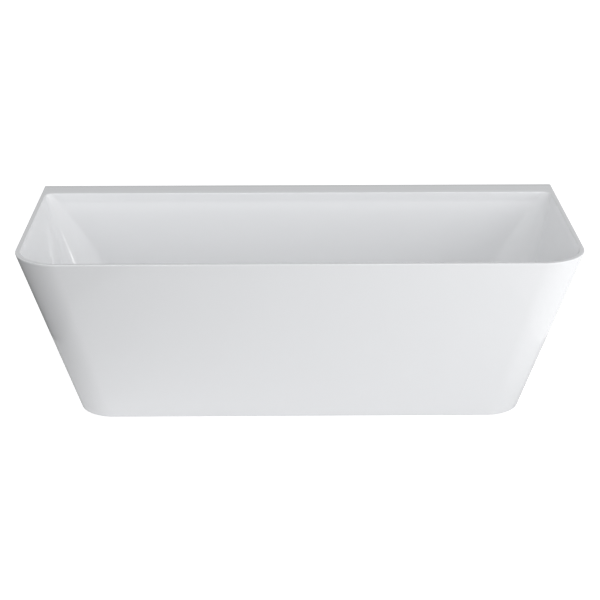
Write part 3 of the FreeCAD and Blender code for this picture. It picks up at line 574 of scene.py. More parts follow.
def build_skirt_laminate():
    low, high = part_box("skirt_laminate")
    outside, inside = [], []
    for z in np.linspace(low.z, high.z, 40):
        face = skirt_row(z, SHEET, fold_y)
        back = skirt_row(z, SHEET + SKIRT_LAMINATE, fold_y)
        dip = (lumps(face, 60, SKIRT_DIP) / SKIRT_LAMINATE)[:, None]
        outside.append(face)
        inside.append(back * (1 - dip) + face * dip)
    skin = Skin()
    skin.patch(outside + inside[::-1] + [outside[0]])
    for end in (0, -1):
        skin.patch([[row[end] for row in outside], [row[end] for row in inside]])
    return skin.finish("skirt_backing", sharp=50)


fit(build_skirt_laminate(), ["skirt_laminate"], "bath", "glassfibre")

# %% [markdown]
# ## Sawn, cut and pressed pieces
# Battens, board, tubes, brackets and washers have the right shape already.  What they lack is the small
# round that a saw, a press or a mould leaves on each edge.  A copy of each is welded, its flat faces are
# cleaned and its edges are rounded.

# %% Rounded copies
def clean_mesh(node):
    source = bpy.data.objects[node]
    mesh = source.data.copy()
    mesh.transform(source.matrix_world)
    work = bmesh.new()
    work.from_mesh(mesh)
    bmesh.ops.remove_doubles(work, verts=work.verts, dist=1e-5)
    bmesh.ops.dissolve_limit(work, angle_limit=math.radians(1.0), verts=work.verts, edges=work.edges)
    work.to_mesh(mesh)
    work.free()
    return mesh


def plain_copy(piece, name):
    """The piece with its modifiers worked out, as a plain mesh."""
    bpy.context.view_layer.update()
    result = bpy.data.meshes.new_from_object(piece.evaluated_get(bpy.context.evaluated_depsgraph_get()))
    result.name = name
    piece.modifiers.clear()
    return result


def rounded_copy(node, name, width, body, slot, segments=2):
    piece = new_piece(name, clean_mesh(node))
    bevel = piece.modifiers.new("edges", "BEVEL")
    bevel.width, bevel.segments = width, segments
    bevel.limit_method, bevel.angle_limit = "ANGLE", math.radians(32)
    piece.data = plain_copy(piece, name)
    piece.data.shade_smooth()
    piece.data.set_sharp_from_angle(angle=math.radians(40))
    return fit(piece, [node], body, slot)


# %% [markdown]
# The table gives each piece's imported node, its own name, the size of its edge round in millimetres and its
# finish.  Sawn wood has the largest rounds, and sheet metal the smallest.

# %% Cut pieces
CUT_PIECES = [
    ("front_batten", "front_foot_batten", 0.8, "softwood"),
    ("left_batten", "left_foot_batten", 0.8, "softwood"),
    ("right_batten", "right_foot_batten", 0.8, "softwood"),
    ("deck_batten", "deck_stiffener", 0.8, "softwood"),
    ("base_board", "floor_board", 0.5, "chipboard"),
    ("rail_front", "front_rail", 0.25, "galvanised"), ("rail_rear", "rear_rail", 0.25, "galvanised"),
    ("cross_tube_left", "left_cross_tube", 0.25, "galvanised"),
    ("cross_tube_right", "right_cross_tube", 0.25, "galvanised"),
    ("tube_end_caps", "end_caps", 0.4, "black_plastic"),
    ("centre_leg_plates", "leg_plates", 0.4, "zinc_plate"),
    ("skirt_brackets", "skirt_angles", 0.35, "galvanised"), ("wall_clips", "wall_angles", 0.35, "galvanised"),
    ("waste_bottom_seal", "waste_under_seal", 0.3, "seal_rubber"),
    ("waste_back_nut", "waste_nut", 0.4, "brass"), ("plug_cartridge", "plug_guide", 0.2, "brass"),
    ("trap_body", "trap_pot", 0.5, "trap_plastic"), ("trap_inlet_washer", "inlet_washer", 0.3, "seal_rubber"),
    ("trap_union_nut", "union_nut", 0.4, "trap_plastic"),
    ("trap_outlet_nut", "outlet_nut", 0.4, "trap_plastic"),
    ("trap_outlet_washer", "outlet_washer", 0.3, "seal_rubber"),
    ("trap_cleaning_cap", "cleaning_cap", 0.4, "trap_plastic"),
]
for node, name, width, slot in CUT_PIECES:
    piece = rounded_copy(node, name, width * MM, "bath", slot)
    print("%-20s %6d faces" % (name, len(piece.data.polygons)))

# %% [markdown]
# ## Turned shapes
# Studs, pads and the waste are turned or moulded round an axis, so each one is a profile carried round a
# circle.  The profile's corners are softened first.

# %% Lathe tools
def softened(profile, radius):
    """Replace each inner corner of a profile by a short curve."""
    done = [profile[0]]
    for before, here, after in zip(profile, profile[1:], profile[2:]):
        here_v = Vector(here)
        arms = [(Vector(other) - here_v) for other in (before, after)]
        cuts = [here_v + arm.normalized() * min(radius, arm.length * 0.4) for arm in arms]
        for t in (0.0, 0.33, 0.67, 1.0):
            done.append(tuple(cuts[0] * (1 - t) ** 2 + here_v * 2 * t * (1 - t) + cuts[1] * t * t))
    done.append(profile[-1])
    return done


def turned_rows(profile, x, y, steps):
    angles = np.arange(steps) * 2 * math.pi / steps
    return [np.stack([x + r * np.cos(angles), y + r * np.sin(angles), np.full(steps, z)], 1)
            for r, z in profile]


def turned_ends(x, y, z, columns):
    return np.tile([x, y, z], (columns + 1, 1))


print("points in a softened square corner", len(softened([(0, 0), (1, 0), (1, 1)], 0.1)))

# %% [markdown]
# A hexagon's chamfer is a cone that cuts its corners, so the corners fall lower than the flats.  A thread is
# one long profile that climbs by its pitch each turn, and runs out to its core at both ends.

# %% Hexagons and threads
def hex_rows(across, low, high, x, y, bore=0.0, steps=36):
    """A chamfered hexagon, open along its axis when bore is given."""
    angles = np.arange(steps) * 2 * math.pi / steps
    corner = across / 2 / np.cos((angles % (math.pi / 3)) - math.pi / 6)
    flat = across / 2 * 0.97
    fall = (corner - flat) * math.tan(math.radians(30))
    ways = np.stack([np.cos(angles), np.sin(angles)], 1)

    def row(r, z):
        r = np.broadcast_to(r, (steps,))
        return np.concatenate([ways * r[:, None] + [x, y], np.broadcast_to(z, (steps,))[:, None]], 1)
    rows = [row(flat, low), row(corner, low + fall), row(corner, high - fall), row(flat, high)]
    if bore:
        lead = 0.6 * MM
        rows += [row(bore + lead, high), row(bore, high - lead), row(bore, low + lead), row(bore + lead, low)]
        return rows + rows[:1]
    return [row(0.0, low)] + rows + [row(0.0, high)]


def thread_rows(radius, pitch, low, high, x, y, columns=20):
    """A screw thread's surface, tapering to its core at both ends."""
    depth = 0.6 * pitch
    shape = (0.0, 0.0, depth, depth)
    turns = math.ceil((high - low) / pitch) + 1
    angles = np.arange(columns + 1) * 2 * math.pi / columns
    rows = [turned_ends(x, y, low, columns)]
    for i in range(-4, 4 * turns):
        z = np.clip(low + pitch * (i / 4 + angles / (2 * math.pi)), low, high)
        from_end = np.minimum(z - low, high - z)
        r = np.minimum(radius - shape[i % 4], radius - depth + from_end)
        rows.append(np.stack([x + r * np.cos(angles), y + r * np.sin(angles), z], 1))
    rows.append(turned_ends(x, y, high, columns))
    return rows


def centre_of(node):
    low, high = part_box(node)
    return (low + high) / 2


def install(skin, name, nodes, body, slot, sharp=40.0):
    return fit(skin.finish(name, sharp=sharp), nodes, body, slot)


print("rows in 20 mm of M12 thread", len(thread_rows(6 * MM, 1.75 * MM, 0, 20 * MM, 0, 0)))

# %% [markdown]
# # Finishes
# Two shared tools give most surfaces their detail: one spreads a value unevenly, the other spreads two
# colours.  Both read the piece's own coordinates, so the detail is the same size on every piece.

# %% Making a surface tool
def shader_tool(name, inputs, outputs):
    tree = bpy.data.node_groups.new(name, "ShaderNodeTree")
    for label, kind, value in inputs:
        socket = tree.interface.new_socket(label, in_out="INPUT", socket_type="NodeSocket" + kind)
        socket.default_value = value
    for label, kind in outputs:
        tree.interface.new_socket(label, in_out="OUTPUT", socket_type="NodeSocket" + kind)
    return tree, tree.nodes.new("NodeGroupInput"), tree.nodes.new("NodeGroupOutput")


def stretched_noise(tree, start):
    """Noise over object coordinates, stretched by the tool's Stretch input."""
    nodes, links = tree.nodes, tree.links
    place = nodes.new("ShaderNodeTexCoord")
    stretch = nodes.new("ShaderNodeVectorMath")
    stretch.operation = "MULTIPLY"
    grain = nodes.new("ShaderNodeTexNoise")
    grain.inputs["Detail"].default_value = 4.0
    links.new(place.outputs["Object"], stretch.inputs[0])
    links.new(start.outputs["Stretch"], stretch.inputs[1])
    links.new(stretch.outputs[0], grain.inputs["Vector"])
    links.new(start.outputs["Scale"], grain.inputs["Scale"])
    return grain


# %% [markdown]
# The first tool gives a value between Low and High.  It feeds roughness and the height of a fine relief.  The
# second gives a colour between two tones.  Image textures could do the same, but these need no unwrapping.

# %% Uneven value and two tones
def uneven_value_tool():
    tree, start, end = shader_tool("uneven_value", [("Scale", "Float", 40.0), ("Stretch", "Vector", (1, 1, 1)),
                                                    ("Low", "Float", 0.3), ("High", "Float", 0.5)],
                                   [("Value", "Float")])
    grain = stretched_noise(tree, start)
    spread = tree.nodes.new("ShaderNodeMapRange")
    spread.inputs["From Min"].default_value = 0.3
    spread.inputs["From Max"].default_value = 0.7
    tree.links.new(grain.outputs["Fac"], spread.inputs["Value"])
    tree.links.new(start.outputs["Low"], spread.inputs["To Min"])
    tree.links.new(start.outputs["High"], spread.inputs["To Max"])
    tree.links.new(spread.outputs["Result"], end.inputs["Value"])
    return tree

def two_tone_tool():
    tree, start, end = shader_tool("two_tone", [("Scale", "Float", 40.0), ("Stretch", "Vector", (1, 1, 1)),
                                                ("First", "Color", (1, 1, 1, 1)),
                                                ("Second", "Color", (0, 0, 0, 1))],
                                   [("Color", "Color")])
    grain = stretched_noise(tree, start)
    contrast = tree.nodes.new("ShaderNodeMapRange")
    contrast.inputs["From Min"].default_value = 0.35
    contrast.inputs["From Max"].default_value = 0.65
    blend = tree.nodes.new("ShaderNodeMix")
    blend.data_type = "RGBA"
    tree.links.new(grain.outputs["Fac"], contrast.inputs["Value"])
    tree.links.new(contrast.outputs["Result"], blend.inputs["Factor"])
    tree.links.new(start.outputs["First"], blend.inputs[6])
    tree.links.new(start.outputs["Second"], blend.inputs[7])
    tree.links.new(blend.outputs[2], end.inputs["Color"])
    return tree


UNEVEN = uneven_value_tool()
TWO_TONE = two_tone_tool()
print("surface tools", UNEVEN.name, TWO_TONE.name)

# %% [markdown]
# A few short helpers keep each finish readable: one starts a material, one places a surface tool with its own
# values, one turns a height into a bump, one picks colours along a scale and one makes small cells.

# %% Helpers for finishes
def new_material(name):
    material = bpy.data.materials.new(name)
    material.use_nodes = True
    nodes, links = material.node_tree.nodes, material.node_tree.links
    return material, nodes, links, nodes["Principled BSDF"]


def use_tool(nodes, tree, **values):
    node = nodes.new("ShaderNodeGroup")
    node.node_tree = tree
    for name, value in values.items():
        node.inputs[name].default_value = value
    return node


def bump_from(nodes, links, shader, height, strength, distance):
    bump = nodes.new("ShaderNodeBump")
    bump.inputs["Strength"].default_value = strength
    bump.inputs["Distance"].default_value = distance
    links.new(height, bump.inputs["Height"])
    links.new(bump.outputs["Normal"], shader.inputs["Normal"])

def ramp(nodes, links, socket, start, end, low, high):
    """A soft step of a value."""
    node = nodes.new("ShaderNodeMapRange")
    node.interpolation_type = "SMOOTHSTEP"
    for name, value in (("From Min", start), ("From Max", end), ("To Min", low), ("To Max", high)):
        node.inputs[name].default_value = value
    links.new(socket, node.inputs["Value"])
    return node.outputs["Result"]


def combine(nodes, links, kind, first, second):
    node = nodes.new("ShaderNodeMath")
    node.operation = kind
    links.new(first, node.inputs[0])
    links.new(second, node.inputs[1])
    return node.outputs[0]


def tones(nodes, links, socket, *stops):
    """A colour for each value, through (position, colour) stops."""
    node = nodes.new("ShaderNodeValToRGB")
    scale = node.color_ramp.elements
    for element, (position, colour) in zip((scale[0], scale[1]), (stops[0], stops[-1])):
        element.position, element.color = position, (*colour, 1)
    for position, colour in stops[1:-1]:
        scale.new(position).color = (*colour, 1)
    links.new(socket, node.inputs["Fac"])
    return node.outputs["Color"]


def cells(nodes, links, scale):
    """Small cells, and two numbers that are different for each cell."""
    place = nodes.new("ShaderNodeTexCoord")
    cell = nodes.new("ShaderNodeTexVoronoi")
    cell.inputs["Scale"].default_value = scale
    links.new(place.outputs["Object"], cell.inputs["Vector"])
    pick = nodes.new("ShaderNodeSeparateColor")
    links.new(cell.outputs["Color"], pick.inputs[0])
    return cell, pick.outputs[0], pick.outputs[1]

print("materials so far", len(bpy.data.materials))

# %% [markdown]
# ## The usual finish
# Most real surfaces are two close tones, an uneven shine and a fine relief.  One function makes them all, and
# each finish only says how strong each of the three is.

# %% Finish of two tones
def finish_material(name, first, second, rough, metallic=0.0, tone_scale=30.0, stretch=(1, 1, 1),
                    grain_scale=200.0, grain_stretch=(1, 1, 1), bump=0.2, depth=0.0002, coat=0.0, ior=1.5):
    """Most finishes: two close tones, uneven roughness and a fine relief."""
    material, nodes, links, shader = new_material(name)
    shader.inputs["Metallic"].default_value = metallic
    shader.inputs["Coat Weight"].default_value = coat
    shader.inputs["IOR"].default_value = ior
    tone = use_tool(nodes, TWO_TONE, Scale=tone_scale, Stretch=stretch, First=(*first, 1), Second=(*second, 1))
    links.new(tone.outputs["Color"], shader.inputs["Base Color"])
    shine = use_tool(nodes, UNEVEN, Scale=tone_scale * 1.7, Stretch=stretch, Low=rough[0], High=rough[1])
    links.new(shine.outputs["Value"], shader.inputs["Roughness"])
    relief = use_tool(nodes, UNEVEN, Scale=grain_scale, Stretch=grain_stretch, Low=0.0, High=1.0)
    bump_from(nodes, links, shader, relief.outputs["Value"], bump, depth)
    return material


FINISHES = {}
print("inputs of a surface tool", [item.name for item in UNEVEN.interface.items_tree if item.in_out == "INPUT"])

# %% [markdown]
# ## White sanitary acrylic
# Cast acrylic is even in colour and very glossy.  Held to the light it shows a faint orange peel from the
# forming, and fine wipe marks that soften the shine here and there.

# %% Acrylic
def acrylic_material():
    material, nodes, links, shader = new_material("white_acrylic")
    shader.inputs["Base Color"].default_value = (0.875, 0.88, 0.89, 1)
    shader.inputs["IOR"].default_value = 1.49
    shine = use_tool(nodes, UNEVEN, Scale=9.0, Stretch=(1, 1, 1), Low=0.06, High=0.12)
    links.new(shine.outputs["Value"], shader.inputs["Roughness"])
    peel = use_tool(nodes, UNEVEN, Scale=60.0, Stretch=(1, 1, 1), Low=0.0, High=1.0)
    bump_from(nodes, links, shader, peel.outputs["Value"], 0.05, 0.0004)
    return material


FINISHES["acrylic"] = acrylic_material()
print("acrylic nodes", len(FINISHES["acrylic"].node_tree.nodes))

# %% [markdown]
# ## Glass fibre
# Resin-soaked chopped strands show as short pale threads that cross at all angles, in a slightly yellow
# resin that is shinier where it has pooled.

# %% Glass fibre
THREAD_LONG = 9.0
CROSSINGS = ((0, 0.6, 0), (0, -0.9, 0), (0.5, 1.5, 0), (0.7, 0, 1.57), (-0.8, 0, 1.57), (0, 0, 0.8))


def fibre_material():
    material, nodes, links, shader = new_material("chopped_strand_laminate")
    shader.inputs["Coat Weight"].default_value = 0.25
    place = nodes.new("ShaderNodeTexCoord")
    strands = None
    for i, turn in enumerate(CROSSINGS):
        lay = nodes.new("ShaderNodeMapping")
        lay.vector_type = "TEXTURE"
        lay.inputs["Rotation"].default_value = turn
        lay.inputs["Scale"].default_value = (THREAD_LONG, 1.0, 1.0)
        links.new(place.outputs["Object"], lay.inputs["Vector"])
        thread = nodes.new("ShaderNodeTexNoise")
        thread.inputs["Scale"].default_value = 260.0 + 20 * i
        thread.inputs["Detail"].default_value = 1.0
        links.new(lay.outputs["Vector"], thread.inputs["Vector"])
        if strands is None:
            strands = thread.outputs["Fac"]
        else:
            strands = combine(nodes, links, "MAXIMUM", strands, thread.outputs["Fac"])
    colour = tones(nodes, links, strands, (0.58, (0.60, 0.56, 0.42)), (0.74, (0.83, 0.81, 0.72)))
    links.new(colour, shader.inputs["Base Color"])
    pooled = use_tool(nodes, UNEVEN, Scale=14.0, Stretch=(1, 1, 1), Low=0.25, High=0.6)
    links.new(pooled.outputs["Value"], shader.inputs["Roughness"])
    bump_from(nodes, links, shader, strands, 0.35, 0.0008)
    return material


FINISHES["glassfibre"] = fibre_material()
print("layers of crossing strands", len(CROSSINGS))

# %% [markdown]
# ## Chipboard and softwood
# Chipboard is pressed flakes of several browns, so cells give each flake its own tone.  The battens are
# planed softwood with long, fine grain; the same two-tone tool does it, stretched along the batten.

# %% Wood
def chipboard_material():
    material, nodes, links, shader = new_material("chipboard")
    flake, tone, _ = cells(nodes, links, 190.0)
    colour = tones(nodes, links, tone, (0.0, (0.33, 0.21, 0.11)), (0.45, (0.48, 0.34, 0.19)),
                   (1.0, (0.62, 0.47, 0.29)))
    links.new(colour, shader.inputs["Base Color"])
    dull = use_tool(nodes, UNEVEN, Scale=80.0, Stretch=(1, 1, 1), Low=0.55, High=0.8)
    links.new(dull.outputs["Value"], shader.inputs["Roughness"])
    bump_from(nodes, links, shader, flake.outputs["Distance"], 0.4, 0.0004)
    return material


def softwood_material(name, long_way):
    """Planed softwood; long_way stretches the grain along one axis."""
    return finish_material(name, (0.66, 0.47, 0.26), (0.50, 0.32, 0.15), (0.5, 0.7), tone_scale=5.0,
                           stretch=long_way, grain_scale=26.0, grain_stretch=long_way, bump=0.3, depth=0.0004)


FINISHES["chipboard"] = chipboard_material()
FINISHES["softwood"] = softwood_material("softwood_long", (1.5, 26, 26))
CROSS_GRAIN = softwood_material("softwood_cross", (26, 1.5, 26))
print("wood finishes", FINISHES["chipboard"].name, FINISHES["softwood"].name, CROSS_GRAIN.name)

# %% [markdown]
# ## Galvanised tube
# Hot-dip zinc freezes into large crystals.  Cells again, but here each has its own grey and its own shine.

# %% Galvanised steel
def galvanised_material():
    material, nodes, links, shader = new_material("galvanised_steel")
    shader.inputs["Metallic"].default_value = 0.95
    _, grey, gloss = cells(nodes, links, 120.0)
    colour = tones(nodes, links, grey, (0.0, (0.42, 0.44, 0.46)), (1.0, (0.63, 0.65, 0.67)))
    links.new(colour, shader.inputs["Base Color"])
    shine = nodes.new("ShaderNodeMapRange")
    shine.inputs["To Min"].default_value = 0.28
    shine.inputs["To Max"].default_value = 0.5
    links.new(gloss, shine.inputs["Value"])
    links.new(shine.outputs["Result"], shader.inputs["Roughness"])
    relief = use_tool(nodes, UNEVEN, Scale=90.0, Stretch=(1, 1, 1), Low=0.0, High=1.0)
    bump_from(nodes, links, shader, relief.outputs["Value"], 0.1, 0.0002)
    return material


FINISHES["galvanised"] = galvanised_material()
print("galvanised nodes", len(FINISHES["galvanised"].node_tree.nodes))

# %% [markdown]
# ## The other finishes
# Zinc plate is bright with a faint yellow-blue cast.  Chrome is a mirror with water marks.  Brass has turning
# lines.  Mouldings are spark-eroded plastics, and rubbers are dull with a trace of bloom.

# %% Metals, plastics and rubbers
FINISHES.update({
    "zinc_plate": finish_material("bright_zinc_plate", (0.68, 0.70, 0.72), (0.60, 0.61, 0.58),
                                  (0.22, 0.38), 1.0, tone_scale=60, grain_scale=300, bump=0.08),
    "black_plastic": finish_material("black_polyamide", (0.030, 0.030, 0.033), (0.045, 0.045, 0.048),
                                     (0.4, 0.55), tone_scale=50, grain_scale=900, bump=0.25, depth=0.0001),
    "sole_rubber": finish_material("sole_rubber", (0.055, 0.055, 0.055), (0.085, 0.084, 0.08), (0.7, 0.9),
                                   tone_scale=70, grain_scale=500, bump=0.3),
    "chrome": finish_material("mirror_chrome", (0.80, 0.81, 0.82), (0.77, 0.785, 0.80), (0.03, 0.09), 1.0,
                              tone_scale=25, grain_scale=40, bump=0.02, depth=0.0001),
    "brass": finish_material("turned_brass", (0.75, 0.56, 0.27), (0.64, 0.46, 0.20), (0.22, 0.38), 1.0,
                             tone_scale=30, grain_scale=60, grain_stretch=(1, 1, 18), bump=0.15),
    "seal_rubber": finish_material("seal_rubber", (0.035, 0.035, 0.036), (0.06, 0.06, 0.058), (0.55, 0.75),
                                   tone_scale=90, grain_scale=600, bump=0.2),
    "spring_steel": finish_material("spring_wire", (0.52, 0.53, 0.55), (0.44, 0.45, 0.47), (0.25, 0.4), 1.0,
                                    tone_scale=90, grain_scale=500, bump=0.1),
    "trap_plastic": finish_material("white_polypropylene", (0.84, 0.84, 0.82), (0.79, 0.79, 0.76), (0.35, 0.5),
                                    tone_scale=12, grain_scale=700, bump=0.2, depth=0.0001),
})
print("finishes", len(FINISHES))

# %% [markdown]
# ## One tool for everything that repeats
# Screws, nuts and ribs are all one shape set down many times.  A geometry-nodes tool takes a set of marked
# points, turns the shape to each point's own direction and makes it real.

# %% Repeat tool
def repeat_tool():
    tree = bpy.data.node_groups.new("set_at_points", "GeometryNodeTree")
    face = tree.interface
    face.new_socket("Geometry", in_out="INPUT", socket_type="NodeSocketGeometry")
    face.new_socket("Shape", in_out="INPUT", socket_type="NodeSocketObject")
    face.new_socket("Spin", in_out="INPUT", socket_type="NodeSocketFloat")
    face.new_socket("Seed", in_out="INPUT", socket_type="NodeSocketInt")
    face.new_socket("Material", in_out="INPUT", socket_type="NodeSocketMaterial")
    face.new_socket("Geometry", in_out="OUTPUT", socket_type="NodeSocketGeometry")
    nodes, links = tree.nodes, tree.links
    start, end = nodes.new("NodeGroupInput"), nodes.new("NodeGroupOutput")
    shape = nodes.new("GeometryNodeObjectInfo")
    turn = nodes.new("GeometryNodeInputNamedAttribute")
    turn.data_type = "FLOAT_VECTOR"
    turn.inputs["Name"].default_value = "turn"
    spin = nodes.new("FunctionNodeRandomValue")
    spin.data_type = "FLOAT"
    spin_way = nodes.new("ShaderNodeCombineXYZ")
    lay = nodes.new("GeometryNodeInstanceOnPoints")
    spun = nodes.new("GeometryNodeRotateInstances")
    real = nodes.new("GeometryNodeRealizeInstances")
    paint = nodes.new("GeometryNodeSetMaterial")
    links.new(start.outputs["Shape"], shape.inputs["Object"])
    links.new(start.outputs["Spin"], spin.inputs[3])
    links.new(start.outputs["Seed"], spin.inputs["Seed"])
    links.new(spin.outputs[1], spin_way.inputs["Z"])
    links.new(start.outputs["Geometry"], lay.inputs["Points"])
    links.new(shape.outputs["Geometry"], lay.inputs["Instance"])
    links.new(turn.outputs["Attribute"], lay.inputs["Rotation"])
    links.new(lay.outputs["Instances"], spun.inputs["Instances"])
    links.new(spin_way.outputs["Vector"], spun.inputs["Rotation"])
    links.new(spun.outputs["Instances"], real.inputs["Geometry"])
    links.new(real.outputs["Geometry"], paint.inputs["Geometry"])
    links.new(start.outputs["Material"], paint.inputs["Material"])
    links.new(paint.outputs["Geometry"], end.inputs["Geometry"])
    return tree


SET_AT_POINTS = repeat_tool()
SOCKETS = {item.name: item.identifier for item in SET_AT_POINTS.interface.items_tree if item.in_out == "INPUT"}
print("inputs of the repeat tool", list(SOCKETS))

# %% [markdown]
# Using the tool means making the marked points, handing over the shape and the finish, and taking the result
# as a plain mesh.  Several such meshes are then joined into one piece.

# %% Set copies down and join them
def repeated(template, places, seed, finish, spin=0.0):
    """Real copies of a template mesh at (point, turn) places, as one plain mesh."""
    points = bpy.data.meshes.new("places")
    points.from_pydata([tuple(point) for point, _ in places], [], [])
    turns = points.attributes.new("turn", "FLOAT_VECTOR", "POINT")
    for i, (_, turn) in enumerate(places):
        turns.data[i].vector = turn
    holder, shape = new_piece("places", points), new_piece("shape", template)
    tool = holder.modifiers.new("repeat", "NODES")
    tool.node_group = SET_AT_POINTS
    for name, value in (("Shape", shape), ("Spin", spin), ("Seed", seed), ("Material", FINISHES[finish])):
        tool[SOCKETS[name]] = value
    mesh = plain_copy(holder, "repeated")
    for item in (holder, shape):
        bpy.data.objects.remove(item)
    return mesh


def joined(meshes, name):
    work = bmesh.new()
    for mesh in meshes:
        work.from_mesh(mesh)
    whole = bpy.data.meshes.new(name)
    bmesh.ops.recalc_face_normals(work, faces=work.faces)
    work.to_mesh(whole)
    work.free()
    whole.shade_smooth()
    whole.set_sharp_from_angle(angle=math.radians(38))
    return new_piece(name, whole)


def blank_mesh(skin, name):
    """A skin's mesh without an object, to be repeated or joined."""
    blank = skin.finish(name)
    mesh = blank.data
    bpy.data.objects.remove(blank)
    return mesh

# %% [markdown]
# ## Levelling feet
# Each foot is an M12 stud in a moulded pad with a ribbed shoulder and a rubber sole with a notched edge.
# The stud's lower end turns in the pad's socket, and a spanner fits the collar just above it.

# %% Feet
STUD_R = 6 * MM
STUD_PITCH = 1.75 * MM
PAD_R = 24 * MM
COLLAR_ACROSS = 17 * MM
COLLAR_TALL = 8 * MM
RIBS = 12


def rib_mesh(name, inner_r, outer_r, low, tall_in, tall_out, width):
    """A thin web standing on a pad's shoulder, pointing along +X from the axis."""
    half = width / 2
    outline = [(inner_r, low), (outer_r, low), (outer_r, tall_out), (inner_r, tall_in)]
    points = [(r, side * half, z) for side in (-1, 1) for r, z in outline]
    faces = [(3, 2, 1, 0), (4, 5, 6, 7), (0, 1, 5, 4), (1, 2, 6, 5), (2, 3, 7, 6), (3, 0, 4, 7)]
    mesh = bpy.data.meshes.new(name)
    mesh.from_pydata(points, [], faces)
    return mesh

def notched(steps=96):
    """How far a sole's edge is cut in at each point, for 24 notches."""
    angles = np.arange(steps) * 2 * math.pi / steps
    return np.where(np.sin(angles * 24) > 0.2, 0.0, 0.7 * MM)


print("pad %.0f mm across with %d webs" % (2 * PAD_R / MM, RIBS))

# %% [markdown]
# Each foot is put together from its sole, its pad with the webs, and its stud.  The sole and the pad only
# rise and fall, while the stud also turns, so they ride on two different bodies.

# %% Sole
def build_sole(foot, x, y, low, split):
    sole = Skin()
    rows = turned_rows([(0, low), (PAD_R * 0.5, low), (PAD_R - 0.8 * MM, low), (PAD_R, low + 0.8 * MM),
                        (PAD_R, split), (0, split)], x, y, 96)
    for row in rows[3:5]:
        way = (row[:, :2] - [x, y]) / PAD_R
        row[:, :2] -= way * notched()[:, None]
    sole.patch(rows, closed=True)
    install(sole, foot + "_sole_tread", [foot + "_sole"], foot + "_base", "sole_rubber")


# %% [markdown]
# The pad is turned and gets twelve webs, which would be slow to place by hand and are one call to the tool.

# %% Pad with its webs
def build_pad(foot, number, x, y, split, pad_top, socket):
    hole = STUD_R + 0.2 * MM
    profile = [(0, split), (PAD_R, split), (PAD_R, split + 3 * MM), (PAD_R - 5 * MM, split + 5.5 * MM),
               (hole + 5 * MM, pad_top - 5 * MM), (hole + 4 * MM, pad_top), (hole, pad_top), (hole, socket),
               (0, socket)]
    pad = Skin()
    pad.patch(turned_rows(softened(profile, 0.6 * MM), x, y, 48), closed=True)
    web = rib_mesh("web", hole + 4.2 * MM, PAD_R - 1.5 * MM, split + 2.5 * MM, pad_top - 1.4 * MM,
                   split + 3.4 * MM, 1.6 * MM)
    places = [((x, y, 0), (0, 0, 2 * math.pi * i / RIBS)) for i in range(RIBS)]
    webs = repeated(web, places, number, "black_plastic")
    fit(joined([blank_mesh(pad, "pad_blank"), webs], foot + "_pad_moulding"), [foot + "_pad"],
        foot + "_base", "black_plastic")


# %% [markdown]
# The stud has a plain end in the pad's socket, a collar for the spanner and a true helical thread, since a
# bump map would leave its outline smooth.

# %% Stud with its collar and thread
def build_stud(foot, x, y, low, high, collar):
    core = STUD_R - 0.1 * MM
    stud = Skin()
    shank = [(0, low), (core - 1 * MM, low), (core, low + 1 * MM), (core, collar + 1 * MM),
             (0, collar + 1 * MM)]
    stud.patch(turned_rows(shank, x, y, 24), closed=True)
    stud.patch(hex_rows(COLLAR_ACROSS, collar, collar + COLLAR_TALL, x, y), closed=True)
    stud.patch(thread_rows(STUD_R, STUD_PITCH, collar + COLLAR_TALL - 0.5 * MM, high, x, y))
    install(stud, foot + "_screw_stud", [foot + "_stud"], foot + "_screw", "zinc_plate")


# %% [markdown]
# The six feet differ only in where they stand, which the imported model's boxes tell.

# %% Six feet
for number in range(1, 7):
    foot = "foot_%d" % number
    at = centre_of(foot + "_sole")
    low, split = (corner.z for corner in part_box(foot + "_sole"))
    pad_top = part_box(foot + "_pad")[1].z
    stud_low, stud_high = (corner.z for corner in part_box(foot + "_stud"))
    build_sole(foot, at.x, at.y, low, split)
    build_pad(foot, number, at.x, at.y, split, pad_top, stud_low - 0.2 * MM)
    build_stud(foot, at.x, at.y, stud_low, stud_high, pad_top + 0.2 * MM)
    print(foot, "at x %.3f y %.3f, thread up to %.3f" % (at.x, at.y, stud_high))

# %% [markdown]
# ## Screws, bolts and nuts
# Wood screws have a pan head with a cross recess; bolts and nuts are hexagons with the usual chamfer.  Each
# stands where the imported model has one, and screws are turned at random about their own axes, as a driver
# leaves them.

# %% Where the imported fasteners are
def solids_of(node):
    """Low and high corner of each separate solid in a node, sorted by place so that every run agrees."""
    work = bmesh.new()
    work.from_mesh(clean_mesh(node))
    seen, found = set(), []
    for first in work.verts:
        if first in seen:
            continue
        seen.add(first)
        heap, members = [first], []
        while heap:
            vert = heap.pop()
            members.append(vert.co.copy())
            for other in (edge.other_vert(vert) for edge in vert.link_edges):
                if other not in seen:
                    seen.add(other)
                    heap.append(other)
        found.append((Vector(map(min, zip(*members))), Vector(map(max, zip(*members)))))
    work.free()
    return sorted(found, key=lambda box: [round(value, 5) for value in box[0]])


def top_down(boxes):
    """A place at the foot of each box, upright."""
    return [(((low.x + high.x) / 2, (low.y + high.y) / 2, low.z), (0, 0, 0)) for low, high in boxes]


print("board screws", len(solids_of("board_screws")), "nuts on the studs", len(solids_of("lock_nuts")))

# %% [markdown]
# A screw is drawn once at each length.  The cross in its head has as many points as the head's circle, so
# the two join with plain quads.

# %% Screw shape
HEAD_R, HEAD_TALL = 4.5 * MM, 2.6 * MM
SCREW_CORE, SCREW_RIDGE, SCREW_PITCH = 1.6 * MM, 2.2 * MM, 2.0 * MM
SCREW_SIDES = 12

